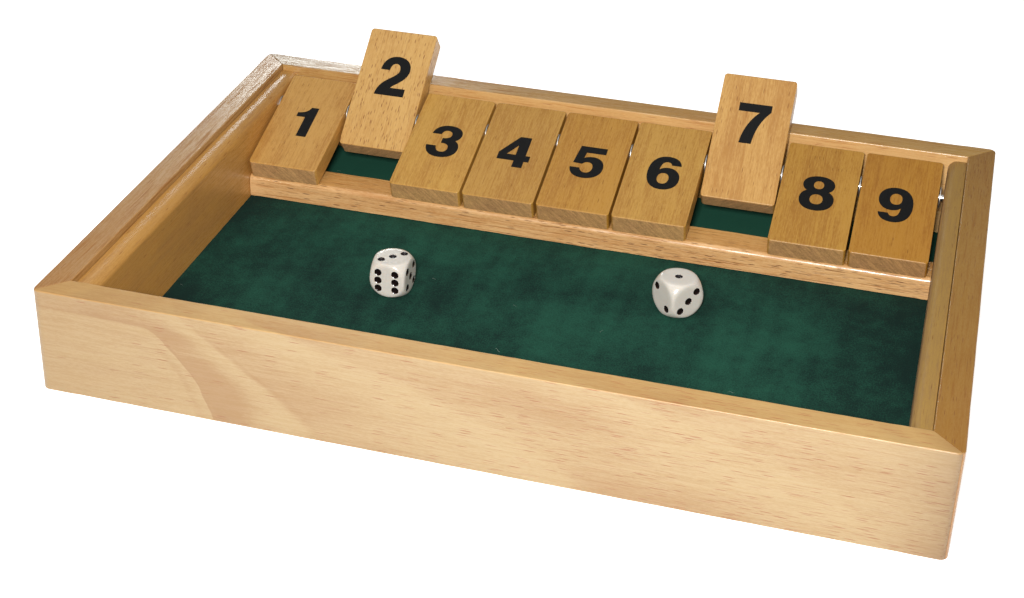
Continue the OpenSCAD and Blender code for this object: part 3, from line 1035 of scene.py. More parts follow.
class SHUTBOX_OT_liner_boards(Operator):
    """Makes the two liner boards and drills them for the rod"""

    bl_idname = "shut_box.liner_boards"
    bl_label = "Liner Boards"

    def execute(self, context):
        settings = context.scene.shut_box.frame
        thick = LINER_HIGH.x - LINER_LOW.x
        high = LINER_HIGH.z - LINER_LOW.z
        joint = settings.joint_ease * 1.6
        round_edge = settings.liner_round
        end_ease = 0.1 * MM
        rod_space = 0.04 * MM
        corners = [(0, 0, joint), (thick, 0, end_ease), (thick, high, joint), (0, high, round_edge)]
        outline = soft_outline(corners)
        axes = GRAIN_X_FACE_Y @ Matrix.Translation((0, -thick / 2, -high / 2))
        common = {
            "woods": (settings.liner_wood, settings.late_wood, settings.pores),
            "half": (ENDLESS, high / 2 / MM, thick / 2 / MM),
            "year": 11.0, "bands": 0.35, "streaks": 1.2, "pores": 0.4, "pore_length": 5.0, "rough": 2.5,
        }
        # Side, gloss, sheen, tones of the inner face and of the rest; these two tones are partly the board's
        # own colour and partly painted light and shade
        looks = {
            "right_liner": (1, 0.0, 0.06, (1.05, 1.27, 2.1), (0.72, 0.86, 0.95)),
            "left_liner": (-1, 0.85, 0.25, (1.22, 1.18, 0.98), (1.03, 1.04, 0.9)),
        }

        def seam(p):
            return max(0.0, 1 - (abs(p.y - thick) + abs(p.z - high)) / joint)

        for node, (side, gloss, sheen, inner, rest) in looks.items():
            # The board runs along Y, and its own Y points outwards
            turned = Matrix(((0, side, 0, 0), (1, 0, 0, 0), (0, 0, 1, 0), (0, 0, 0, 1)))
            place = Matrix.Translation((side * LINER_LOW.x, 0, LINER_LOW.z)) @ turned
            piece = straight_board(
                f"{node}_wood", outline, TRAY_D / 2, place, end_ease, settings.sanding, 11 + side
            )
            drill(piece, ROD_D / 2 + rod_space, side * (LINER_LOW.x - MM), side * (LINER_HIGH.x + MM))
            wood = {"heart": (0.03 * side, -70.0, 50.0), "gloss": gloss, "sheen": sheen, **common}
            material = known_material(f"{node}_lacquer", wood_surface, **wood)

            # Painted light and shade: the inner face and the rest of the board take different tones
            def tone(p, inner=Vector(inner), rest=Vector(rest)):
                return inner.lerp(rest, clamped((p.z - high + round_edge) / round_edge + p.y / round_edge))

            dress_board(piece, place, axes, material, 5.0 + side, tone, seam=seam)
            finish_piece(piece, "root", "liner_wood", node)
        return {"FINISHED"}


class SHUTBOX_OT_rest_bar(Operator):
    """Makes the bar on which the shut tiles lie"""

    bl_idname = "shut_box.rest_bar"
    bl_label = "Rest Bar"

    def execute(self, context):
        settings = context.scene.shut_box.bar
        deep = BAR_HIGH.y - BAR_LOW.y
        high = BAR_HIGH.z - BAR_LOW.z
        foot = 0.3 * MM
        top_corners = [(deep, high, settings.back_ease), (0, high, settings.front_round)]
        outline = soft_outline([(0, 0, foot), (deep, 0, foot), *top_corners], steps=7)
        place = Matrix.Translation((0, BAR_LOW.y, BAR_LOW.z))
        piece = straight_board(
            "rest_bar_wood", outline, TRAY_W / 2, place, 0.15 * MM, settings.sanding, 21, step=2.5 * MM
        )
        material = known_material(
            "rest_bar_lacquer", wood_surface,
            woods=(settings.early_wood, settings.late_wood, settings.pores),
            half=(ENDLESS, high / 2 / MM, deep / 2 / MM), heart=(0.06, -38.0, 30.0), year=9.0, bands=0.4,
            streaks=1.3, lines=1.6, pores=1.0, pore_length=4.5, pore_width=0.5,
            gloss=0.95, sheen=0.25, rough=7.0,
        )
        axes = GRAIN_X_FACE_Y @ Matrix.Translation((0, -deep / 2, -high / 2))
        # Painted light and shade: the front face and the top take different tones
        front, top = Vector((1.08, 1.07, 1.05)), Vector((1.05, 0.95, 0.68))

        def tone(p):
            return front.lerp(top, clamped(p.y / settings.front_round))

        def pores(p):
            return 1.2 + 0.8 * p.x / (TRAY_W / 2)

        dress_board(piece, place, axes, material, 9.0, tone, pores)
        finish_piece(piece, "root", "frame_wood", "rest_bar")
        return {"FINISHED"}


class SHUTBOX_OT_base_panel(Operator):
    """Makes the panel under the felt"""

    bl_idname = "shut_box.base_panel"
    bl_label = "Base Panel"

    def execute(self, context):
        settings = context.scene.shut_box.frame
        size = PANEL_HIGH - PANEL_LOW
        ease = 0.3 * MM
        corners = ((0, 0), (size.y, 0), (size.y, size.z), (0, size.z))
        outline = soft_outline([(*corner, ease) for corner in corners], steps=2)
        place = Matrix.Translation((0, PANEL_LOW.y, PANEL_LOW.z))
        piece = straight_board("base_panel_board", outline, size.x / 2, place, ease, 0, 31, step=20 * MM)
        woods = (settings.panel_wood, shaded(settings.panel_wood, 0.6), settings.pores)
        material = known_material(
            "base_panel_sanded", wood_surface, woods=woods, half=size / 2 / MM, heart=(0.01, 20.0, 240.0),
            year=8.0, bands=0.6, streaks=1.2, pores=0.35, pore_length=10.0,
        )
        axes = GRAIN_X_FACE_Z @ Matrix.Translation((0, -size.y / 2, -size.z / 2))
        dress_board(piece, place, axes, material, 13.0)
        finish_piece(piece, "root", "base_board", "base_panel")
        return {"FINISHED"}


def apply_tree(piece, tree, inputs):
    """Runs a geometry tree on the piece and keeps its result as a plain mesh."""
    names = {item.name: item.identifier for item in tree.interface.items_tree if item.in_out == "INPUT"}
    modifier = piece.modifiers.new(tree.name, "NODES")
    modifier.node_group = tree
    for name, value in inputs.items():
        modifier[names[name]] = value
    settle(piece)
    return piece


def tree_from_points(name, points, tree, inputs):
    """One plain mesh from a geometry tree that starts from these points."""
    mesh = bpy.data.meshes.new(name)
    mesh.from_pydata([tuple(p) for p in points], [], [])
    return apply_tree(link_object(name, mesh), tree, inputs)


def build_strewn_fibres(name):
    """Strews tapered, bent fibres over the faces that look up."""
    graph, given, put = node_group(
        name,
        "GeometryNodeTree",
        {
            "Geometry": "Geometry",
            "Density": 1.0,
            "Length": MM,
            "Thickness": 0.1 * MM,
            "Bend": 0.0,
            "Bend Steps": 1,
            "Lean": 1.2,
            "Lean Spread": 0.2,
            "Seed": 0,
            "Material": "Material",
        },
        {"Geometry": "Geometry"},
    )
    upward = graph.parts(graph.geometry("InputNormal"))[2]
    points = graph.add(
        "GeometryNodeDistributePointsOnFaces",
        {
            "Mesh": given["Geometry"],
            "Selection": graph.math("GREATER_THAN", upward, 0.9),
            "Density": given["Density"],
            "Seed": given["Seed"],
        },
    )["Points"]
    size = given["Length"]
    sway = graph.times(size, given["Bend"])
    back = graph.times(sway, -1.0)
    line = graph.geometry(
        "CurvePrimitiveBezierSegment",
        {
            "Resolution": given["Bend Steps"],
            "Start": (0, 0, 0),
            "Start Handle": graph.joined(sway, 0.0, graph.times(size, 0.33)),
            "End Handle": graph.joined(back, sway, graph.times(size, 0.66)),
            "End": graph.joined(0.0, 0.0, size),
        },
    )
    along = graph.add("GeometryNodeSplineParameter")["Factor"]
    taper = graph.times_plus(along, -0.7, 1.0)
    radius = graph.times(given["Thickness"], 0.5)
    profile = graph.geometry("CurvePrimitiveCircle", {"Resolution": 3, "Radius": radius})
    inputs = {"Curve": line, "Profile Curve": profile, "Scale": taper, "Fill Caps": True}
    fibre = graph.geometry("CurveToMesh", inputs)
    least = graph.minus(given["Lean"], given["Lean Spread"])
    most = graph.plus(given["Lean"], given["Lean Spread"])
    turned = graph.first(
        "FunctionNodeRandomValue",
        {0: graph.joined(least, 0.0, 0.0), 1: graph.joined(most, 0.0, 2 * math.pi), "Seed": given["Seed"]},
        data_type="FLOAT_VECTOR",
    )
    inputs = {2: 0.55, 3: 1.25, "Seed": graph.plus(given["Seed"], 1.0)}
    grown = graph.add("FunctionNodeRandomValue", inputs, data_type="FLOAT")[1]
    inputs = {"Points": points, "Instance": fibre, "Rotation": turned, "Scale": grown}
    put("Geometry", graph.realized(graph.geometry("InstanceOnPoints", inputs), given["Material"]))
    return graph.tree


def felt_height(x, y, sink):
    """Height of the felt's surface, which dips here and there and falls off at its edges."""
    edge_drop, edge_width = 0.35 * MM, 0.6 * MM
    spot = Vector((x / (9 * MM), y / (7 * MM), 0.0))
    dip = clamped(0.5 + 0.5 * noise.noise(spot) + 0.25 * noise.noise(spot * 2.9))
    rim = min(x - FELT_LOW.x, FELT_HIGH.x - x, y - FELT_LOW.y, FELT_HIGH.y - y)
    return FELT_HIGH.z - sink * dip - edge_drop * math.exp(-rim / edge_width)


def grid_places(low, high, count):
    """Even places from low to high, with one more close to each end."""
    near = 0.8 * MM
    return [low, *(low + near + (high - low - 2 * near) * k / count for k in range(count + 1)), high]


def felt_sheet(sink):
    """The felt as a closed sheet with a flat underside."""
    xs = grid_places(FELT_LOW.x, FELT_HIGH.x, 124)
    ys = grid_places(FELT_LOW.y, FELT_HIGH.y, 88)
    wide, high = len(xs), len(ys)
    points = [(x, y, felt_height(x, y, sink)) for y in ys for x in xs]
    starts = [j * wide + i for j in range(high - 1) for i in range(wide - 1)]
    faces = [(k, k + 1, k + 1 + wide, k + wide) for k in starts]
    rim = [*range(wide), *range(2 * wide - 1, high * wide, wide)]
    rim += [*range(high * wide - 2, (high - 1) * wide - 1, -1), *range((high - 2) * wide, 0, -wide)]
    under, count = len(points), len(rim)
    points += [(points[k][0], points[k][1], FELT_LOW.z) for k in rim]
    faces += [(rim[k], under + k, under + (k + 1) % count, rim[(k + 1) % count]) for k in range(count)]
    faces.append(tuple(range(under, under + count)))
    return mesh_object("felt_sheet", points, faces)


def nap_painted_light(p):
    """Painted light and shade on the felt: the nap turns its bright side down near the edges, as painted
    shade, and up behind the bar, as painted light.
    """
    if p.y > BAR_HIGH.y:
        return 0.85
    rim = min(p.x - FELT_LOW.x, FELT_HIGH.x - p.x, p.y - FELT_LOW.y)
    return -0.28 * math.exp(-rim / (30 * MM))


class SHUTBOX_OT_playing_felt(Operator):
    """Makes the felt, its nap and a little lint"""

    bl_idname = "shut_box.playing_felt"
    bl_label = "Playing Felt"

    def execute(self, context):
        settings = context.scene.shut_box.felt
        material = known_material("green_felt", felt_surface, settings)
        felt = felt_sheet(settings.sink)
        crisp_shading(felt, 60)
        felt.data.materials.append(material)
        # Painted light and shade on the felt, stored for its nap's colour
        store(felt.data, "nap_painted_light", [nap_painted_light(v.co) for v in felt.data.vertices])
        finish_piece(felt, "root", "felt", "playing_felt")
        area = TRAY_W * TRAY_D
        strewn = {
            "felt_nap": {
                "Density": settings.fibres / area,
                "Length": settings.fibre,
                "Thickness": settings.fibre_thickness,
                "Lean": math.radians(62),
                "Lean Spread": math.radians(16),
                "Seed": 4,
                "Material": material,
            },
            "felt_lint": {
                "Density": settings.lint_fibres / area,
                "Length": 2.6 * MM,
                "Thickness": 0.14 * MM,
                "Bend": 0.35,
                "Bend Steps": 8,
                "Lean": math.radians(87),
                "Lean Spread": math.radians(2),
                "Seed": 11,
                "Material": known_material("pale_lint", lint_surface, settings),
            },
        }
        tree = known_group("Strewn Fibres", build_strewn_fibres)
        for name, inputs in strewn.items():
            piece = apply_tree(link_object(name, felt.data.copy()), tree, inputs)
            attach(piece, "root")
        return {"FINISHED"}


def build_washers(name):
    """Sets an eased ring on each point, each with a slight lean."""
    graph, given, put = node_group(
        name,
        "GeometryNodeTree",
        {
            "Geometry": "Geometry",
            "Outer Radius": 5 * MM,
            "Inner Radius": 1.6 * MM,
            "Thickness": 0.8 * MM,
            "Edge Radius": 0.1 * MM,
            "Tilt": 0.0,
            "Seed": 3,
            "Material": "Material",
        },
        {"Geometry": "Geometry"},
    )
    outer, inner = given["Outer Radius"], given["Inner Radius"]
    middle = graph.times(graph.plus(outer, inner), 0.5)
    path = graph.geometry("CurvePrimitiveCircle", {"Resolution": 72, "Radius": middle})
    inputs = {"Width": graph.minus(outer, inner), "Height": given["Thickness"]}
    section = graph.geometry("CurvePrimitiveQuadrilateral", inputs)
    inputs = {"Curve": section, "Count": 3, "Radius": given["Edge Radius"]}
    eased = graph.geometry("FilletCurve", inputs, mode="POLY")
    ring = graph.geometry("CurveToMesh", {"Curve": path, "Profile Curve": eased})
    lean = graph.times(given["Tilt"], -1.0)
    upright = math.pi / 2
    turned = graph.first(
        "FunctionNodeRandomValue",
        {
            0: graph.joined(0.0, graph.plus(lean, upright), lean),
            1: graph.joined(0.0, graph.plus(given["Tilt"], upright), given["Tilt"]),
            "Seed": given["Seed"],
        },
        data_type="FLOAT_VECTOR",
    )
    inputs = {"Points": given["Geometry"], "Instance": ring, "Rotation": turned}
    put("Geometry", graph.realized(graph.geometry("InstanceOnPoints", inputs), given["Material"]))
    return graph.tree


class SHUTBOX_OT_hinge(Operator):
    """Finishes the rod and makes the washers on it"""

    bl_idname = "shut_box.hinge"
    bl_label = "Rod and Washers"

    def execute(self, context):
        settings = context.scene.shut_box.hinge
        rod = frame["nodes"]["hinge_rod"]
        rod.data.materials.clear()
        rod.data.materials.append(known_material("drawn_steel", steel_surface, settings, 0.27))
        boxes = [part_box(name) for name in WASHERS]
        size = boxes[0][1] - boxes[0][0]
        washers = tree_from_points(
            "washers",
            [(low + high) / 2 for low, high in boxes],
            known_group("Washers", build_washers),
            {
                "Outer Radius": size.z / 2,
                "Inner Radius": settings.washer_bore / 2,
                "Thickness": size.x,
                "Edge Radius": settings.washer_ease,
                "Tilt": settings.tilt,
                "Material": known_material("pressed_steel", steel_surface, settings, 0.45),
            },
        )
        crisp_shading(washers, 50)
        finish_piece(washers, "root", "steel", *WASHERS)
        return {"FINISHED"}


def tile_size(ease):
    """Width, thickness and the two lengths from the rod of a tile that lies on the bar."""
    low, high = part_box("tile_1")
    angle = tile_seat(1)[1]
    sine, cosine = math.sin(angle), math.cos(angle)
    ahead, behind = HINGE.y - low.y - ease, high.y - HINGE.y - ease
    below = HINGE.z - low.z - ease
    # In the box of the tilted tile, ahead = long * cosine + half * sine, and
    # below = long * sine + half * cosine
    square = cosine * cosine - sine * sine
    half = (below * cosine - ahead * sine) / square
    long = (ahead * cosine - below * sine) / square
    short = (behind - half * sine) / cosine
    skin = 0.02 * MM
    return high.x - low.x, 2 * (half + ease - skin), long + ease - skin, short + ease - skin


def tile_seat(number):
    """Middle of a tile along the rod, and its turn about the rod."""
    low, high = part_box(f"tile_{number}")
    ahead, behind = HINGE.y - low.y, high.y - HINGE.y
    below, above = HINGE.z - low.z, high.z - HINGE.z
    middle = (low.x + high.x) / 2
    # The rod is off the tile's middle, so the tile reaches further from it on its long side
    if ahead > behind:
        return middle, math.atan2(below - above, ahead - behind)
    return middle, math.atan2(above - below, behind - ahead) - math.pi


def tile_place(number):
    """Brings a tile from the rod's middle to its seat."""
    middle, angle = tile_seat(number)
    return Matrix.Translation((middle, HINGE.y, HINGE.z)) @ Matrix.Rotation(angle, 4, "X")


# How each tile differs: seed, tone and share of pores, which is 1 where the grain is open.
# The tone is partly the tile's own colour and partly painted light: the two flipped tiles,
# 2 and 7, which face the light more, take paler tones.
TILE_WOOD = {
    1: (1.3, (1.08, 1.12, 1.16), 0.2),
    2: (2.6, (1.21, 1.36, 1.74), 1.0),
    3: (3.1, (1.07, 1.13, 0.93), 0.25),
    4: (4.7, (0.93, 0.95, 0.74), 0.12),
    5: (5.2, (0.9, 0.86, 0.5), 0.15),
    6: (6.9, (0.99, 1.04, 0.81), 0.15),
    7: (7.4, (1.14, 1.22, 1.4), 0.5),
    8: (8.8, (0.89, 0.87, 0.5), 0.2),
    9: (9.5, (0.8, 0.7, 0.26), 0.15),
}


def tile_wood(number, place, width, thick, long, short, settings):
    """The bored wood of one tile, with round corners and eased edges."""
    block = bmesh.new()
    bmesh.ops.create_cube(block, size=1)
    middle = Matrix.Translation((0, (short - long) / 2, 0))
    block.transform(middle @ Matrix.Diagonal((width, long + short, thick, 1)))
    upright = [e for e in block.edges if abs(e.verts[0].co.z - e.verts[1].co.z) > thick / 2]
    bmesh.ops.bevel(block, geom=upright, offset=settings.corner, segments=6, profile=0.5, affect="EDGES")
    rim = block.edges.layers.float.new("bevel_weight_edge")
    for edge in block.edges:
        normals = (face.normal for face in edge.link_faces)
        upward, outward = sorted(normals, key=lambda n: abs(n.z))[::-1]
        if abs(upward.z) > 0.5 and abs(outward.z) < 0.5:
            share_of_end = abs(outward.y)
            edge[rim] = share_of_end + (1 - share_of_end) * settings.long_ease / settings.ease
    block.transform(place)
    mesh = bpy.data.meshes.new(f"tile_{number}_wood")
    block.to_mesh(mesh)
    block.free()
    piece = link_object(mesh.name, mesh)
    rounding = piece.modifiers.new("rounding", "BEVEL")
    rounding.limit_method = "WEIGHT"
    rounding.width = settings.ease
    rounding.segments = 4
    settle(piece)
    seat = tile_seat(number)[0]
    drill(piece, ROD_D / 2 + settings.bore_space, seat - width, seat + width)
    return piece


class SHUTBOX_OT_tiles(Operator):
    """Makes the nine bored tiles"""

    bl_idname = "shut_box.tiles"
    bl_label = "Tiles"

    def execute(self, context):
        settings = context.scene.shut_box.tiles
        width, thick, long, short = size = tile_size(settings.ease)
        axes = GRAIN_Y_FACE_Z @ Matrix.Translation((0, (long - short) / 2, 0))
        woods = (settings.early_wood, settings.late_wood)
        common = {
            "half": ((long + short) / 2 / MM, width / 2 / MM, thick / 2 / MM), "heart": (0.04, 30.0, 70.0),
            "year": 10.0, "end": settings.end_wood, "gloss": 0.2, "sheen": 0.35, "lines": 0.5,
        }
        fine_wood = known_material(
            "tile_lacquer", wood_surface, woods=(*woods, settings.pores), bands=0.45, streaks=1.9,
            pores=1.0, pore_length=3.5, pore_width=0.4, **common,
        )
        open_wood = known_material(
            "open_tile_lacquer", wood_surface, woods=(*woods, settings.flecks), bands=0.2, streaks=1.2,
            pores=3.0, pore_length=3.0, pore_width=0.6, **common,
        )
        flank = width / 2 - settings.long_ease / 2
        for number in TILE_NUMBERS:
            place = tile_place(number)
            piece = tile_wood(number, place, *size, settings)
            seed, tone, pores = TILE_WOOD[number]

            def flank_painted_light(p, tone=Vector(tone)):
                """The tile's tone, with painted light that makes its two flanks brighter, where the gaps
                between the tiles are in shade.
                """
                return tone * (1.25 if abs(p.x) > flank else 1.0)

            wood = open_wood if pores == 1 else fine_wood
            dress_board(piece, place, axes, wood, seed, flank_painted_light, pores, ends=True)
            finish_piece(piece, f"tile_{number}_body", "tile_wood", f"tile_{number}")
        return {"FINISHED"}


# The numerals' outlines in millimetres, as drawn for a height of 20.2: a point of two numbers
# is the end of a straight line, and one of six the end of a curve after its two handles
SIX = [
    [
        (7.6, 15.7), (7.1, 19.2, 4.6, 21.1, 0.9, 21.1), (-4.0, 21.1, -6.9, 17.0, -6.9, 10.2),
        (-6.9, 3.6, -4.1, -0.3, 0.9, -0.3), (5.2, -0.3, 8.1, 2.7, 8.1, 7.0),
        (8.1, 11.0, 5.6, 13.9, 2.2, 13.9),
        (0.6, 13.9, -0.9, 13.4, -1.8, 12.2), (-1.6, 15.8, -0.6, 17.5, 1.1, 17.5),
        (2.2, 17.5, 3.0, 16.9, 3.2, 15.7),
    ],
    [
        (0.7, 10.2), (2.3, 10.2, 3.3, 9.0, 3.3, 6.8), (3.3, 4.7, 2.3, 3.4, 0.7, 3.4),
        (-0.9, 3.4, -1.9, 4.7, -1.9, 6.8), (-1.9, 9.0, -0.9, 10.2, 0.7, 10.2),
    ],
]
NUMERALS = {
    1: [[
        (3.9, 0), (3.9, 20.2), (0.2, 20.2), (-0.5, 17.3, -2.4, 16.1, -5.4, 16.0), (-5.4, 13.2),
        (-1.0, 13.2), (-1.0, 0),
    ]],
    2: [[
        (-6.5, 13.5), (-6.2, 18.4, -3.4, 21.1, 0.7, 21.1), (5.0, 21.1, 8.0, 18.4, 8.0, 14.6),
        (8.0, 11.4, 6.4, 9.4, 4.3, 7.6), (2.6, 6.1, 1.2, 5.4, 0.5, 4.2), (7.9, 4.2), (7.9, 0), (-6.7, 0),
        (-6.3, 3.2, -5.2, 5.6, -2.9, 7.6), (-1.2, 9.1, 0.6, 10.2, 1.9, 11.6),
        (2.7, 12.5, 3.1, 13.4, 3.0, 14.4),
        (2.9, 16.1, 2.0, 17.2, 0.6, 17.2), (-0.9, 17.2, -1.9, 15.9, -2.0, 13.5),
    ]],
    3: [[
        (-6.6, 14.8), (-6.2, 18.7, -3.4, 21.1, 0.6, 21.1), (4.9, 21.1, 7.7, 18.9, 7.7, 15.7),
        (7.7, 13.7, 6.8, 12.2, 5.5, 11.4), (7.2, 10.4, 8.1, 8.6, 8.1, 6.3),
        (8.1, 2.3, 4.9, -0.3, 0.2, -0.3),
        (-4.2, -0.3, -7.1, 2.4, -7.3, 6.9), (-2.6, 6.9), (-2.4, 4.7, -1.3, 3.3, 0.4, 3.3),
        (2.1, 3.3, 3.2, 4.4, 3.2, 6.2),
        (3.2, 8.3, 1.6, 9.3, -0.9, 9.1), (-0.9, 12.4), (1.5, 12.4, 2.9, 13.3, 2.9, 15.1),
        (2.9, 16.6, 1.9, 17.6, 0.4, 17.6),
        (-1.0, 17.6, -2.0, 16.6, -2.1, 14.8),
    ]],
    4: [
        [
            (0.3, 20.2), (-7.2, 8.7), (-7.2, 4.2), (0.9, 4.2), (0.9, 0), (5.7, 0), (5.7, 4.2),
            (7.9, 4.2), (7.9, 8.1),
            (5.7, 8.1), (5.7, 20.2),
        ],
        [(0.9, 14.4), (0.9, 8.1), (-3.2, 8.1)],
    ],
    5: [[
        (-5.2, 20.2), (7.1, 20.2), (7.1, 16.2), (-1.8, 16.2), (-2.2, 12.7),
        (-1.1, 13.4, 0.3, 13.8, 1.8, 13.8),
        (5.3, 13.8, 7.7, 11.1, 7.7, 7.2), (7.7, 2.6, 4.4, -0.3, -0.2, -0.3),
        (-4.4, -0.3, -7.2, 2.0, -7.5, 6.0),
        (-2.9, 6.0), (-2.5, 4.2, -1.4, 3.3, 0.0, 3.3), (1.7, 3.3, 2.8, 4.6, 2.8, 6.7),
        (2.8, 8.8, 1.8, 10.1, 0.2, 10.1),
        (-0.9, 10.1, -1.8, 9.6, -2.3, 8.6), (-6.6, 8.9),
    ]],
    6: SIX,
    7: [[
        (-7.2, 20.2), (7.6, 20.2), (7.6, 16.8), (4.5, 13.4, 1.6, 7.9, 1.1, 0), (-4.5, 0),
        (-4.0, 6.2, -1.4, 12.2, 2.4, 16.0),
        (-7.2, 16.0),
    ]],
    8: [
        [
            (0.0, 21.3), (4.0, 21.3, 6.9, 19.2, 6.9, 15.9), (6.9, 14.1, 6.1, 12.7, 4.8, 11.8),
            (6.5, 10.8, 7.5, 9.0, 7.5, 6.7), (7.5, 2.5, 4.5, -0.3, -0.1, -0.3),
            (-4.6, -0.3, -7.6, 2.4, -7.6, 6.6),
            (-7.6, 9.0, -6.6, 10.9, -4.9, 11.8), (-6.2, 12.7, -7.0, 14.1, -7.0, 15.9),
            (-7.0, 19.1, -4.1, 21.3, 0.0, 21.3),
        ],
        [
            (-0.1, 18.2), (1.3, 18.2, 2.1, 17.1, 2.1, 15.7), (2.1, 14.2, 1.3, 13.2, -0.1, 13.2),
            (-1.4, 13.2, -2.3, 14.2, -2.3, 15.7), (-2.3, 17.1, -1.4, 18.2, -0.1, 18.2),
        ],
        [
            (-0.1, 9.8), (1.7, 9.8, 2.7, 8.5, 2.7, 6.7), (2.7, 4.9, 1.7, 3.6, -0.1, 3.6),
            (-1.9, 3.6, -2.9, 4.9, -2.9, 6.7), (-2.9, 8.5, -1.9, 9.8, -0.1, 9.8),
        ],
    ],
}
# A nine is a six turned upside down
NINE_H = 20.8
NUMERALS[9] = [[tuple(NINE_H - c if k % 2 else -c for k, c in enumerate(p)) for p in loop] for loop in SIX]
DRAWN_H = 20.2
# How far off the tile's middle each numeral is printed, across and along, in millimetres
PRINT_SHIFT = {
    1: (-0.75, 0.15), 2: (0.65, 0.4), 3: (0.4, 0.15), 4: (0.35, 0.0), 5: (0.1, 0.15),
    6: (0.6, 0.25), 7: (0.2, -0.3), 8: (0.0, -0.55), 9: (-0.7, -0.35),
}


def flattened(loop, steps=9):
    """Points along an outline of straight lines and curves."""
    points = [Vector(loop[0][-2:])]
    for part in loop[1:]:
        if len(part) == 2:
            points.append(Vector(part))
            continue
        start, first, second, end = points[-1], Vector(part[:2]), Vector(part[2:4]), Vector(part[4:])
        for step in range(1, steps + 1):
            t = step / steps
            u = 1 - t
            points.append(u ** 3 * start + 3 * t * u ** 2 * first + 3 * t * t * u * second + t ** 3 * end)
    if (points[0] - points[-1]).length < 1e-6:
        points.pop()
    return points


def numeral_slab(number, height, thickness, place):
    """Points and faces of one numeral, as a thin slab that stands on Z = 0."""
    loops = [flattened(loop) for loop in NUMERALS[number]]
    xs = [p.x for p in loops[0]]
    middle = Vector(((min(xs) + max(xs)) / 2, DRAWN_H / 2))
    loops = [[(p - middle) * height / DRAWN_H for p in loop] for loop in loops]
    flat = [p for loop in loops for p in loop]
    below, above = -0.4 * thickness, thickness
    points = [place @ Vector((p.x, p.y, z)) for z in (above, below) for p in flat]
    count = len(flat)
    faces = []
    for triangle in tessellate_polygon([[Vector((p.x, p.y, 0)) for p in loop] for loop in loops]):
        faces.append(tuple(triangle))
        faces.append(tuple(count + k for k in reversed(triangle)))
    start = 0
    for loop in loops:
        for k in range(len(loop)):
            first, second = start + k, start + (k + 1) % len(loop)
            faces.append((first, second, count + second, count + first))
        start += len(loop)
    return points, faces


class SHUTBOX_OT_numerals(Operator):
    """Prints a numeral on both faces of each tile"""

    bl_idname = "shut_box.numerals"
    bl_label = "Numerals"

    def execute(self, context):
        settings = context.scene.shut_box.tiles
        thick, long, short = tile_size(settings.ease)[1:]
        axes = GRAIN_Y_FACE_Z @ Matrix.Translation((0, (long - short) / 2, 0))
        ink = known_material("black_print", ink_surface, settings)
        # The half turn leaves the far numeral upright once its tile is flipped
        half_turn = Matrix.Rotation(math.pi, 4, "X")
        for number in TILE_NUMBERS:
            across, along = (c * MM for c in PRINT_SHIFT[number])
            place = tile_place(number)
            near = Matrix.Translation((across, (short - long) / 2 - along, thick / 2))
            far = Matrix.Translation((across, settings.far_centre - long + along, -thick / 2)) @ half_turn
            points, faces = [], []
            for side in (near, far):
                slab = numeral_slab(number, settings.numeral, settings.ink_thickness, place @ side)
                faces += [tuple(k + len(points) for k in face) for face in slab[1]]
                points += slab[0]
            piece = mesh_object(f"tile_{number}_numerals", points, faces)
            mesh = piece.data
            back = place.inverted()
            store(mesh, "board", [c for v in mesh.vertices for c in axes @ back @ v.co], "FLOAT_VECTOR")
            mesh.materials.append(ink)
            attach(piece, f"tile_{number}_body")
        return {"FINISHED"}


def pip_places(number):
    """Places of the pips on a face, in steps from its middle."""
    places = [(0, 0)] if number % 2 else []
    if number not in (1, 3):
        places += [(-1, 1), (1, -1)]
    if number > 2:
        places += [(1, 1), (-1, -1)]
    if number == 6:
        places += [(-1, 0), (1, 0)]
    return places


# Turns about X and Z that bring a die's top to its front, right, back, left, top and bottom
FACE_TURNS = ((90, 0), (90, 90), (90, 180), (90, 270), (0, 0), (180, 0))


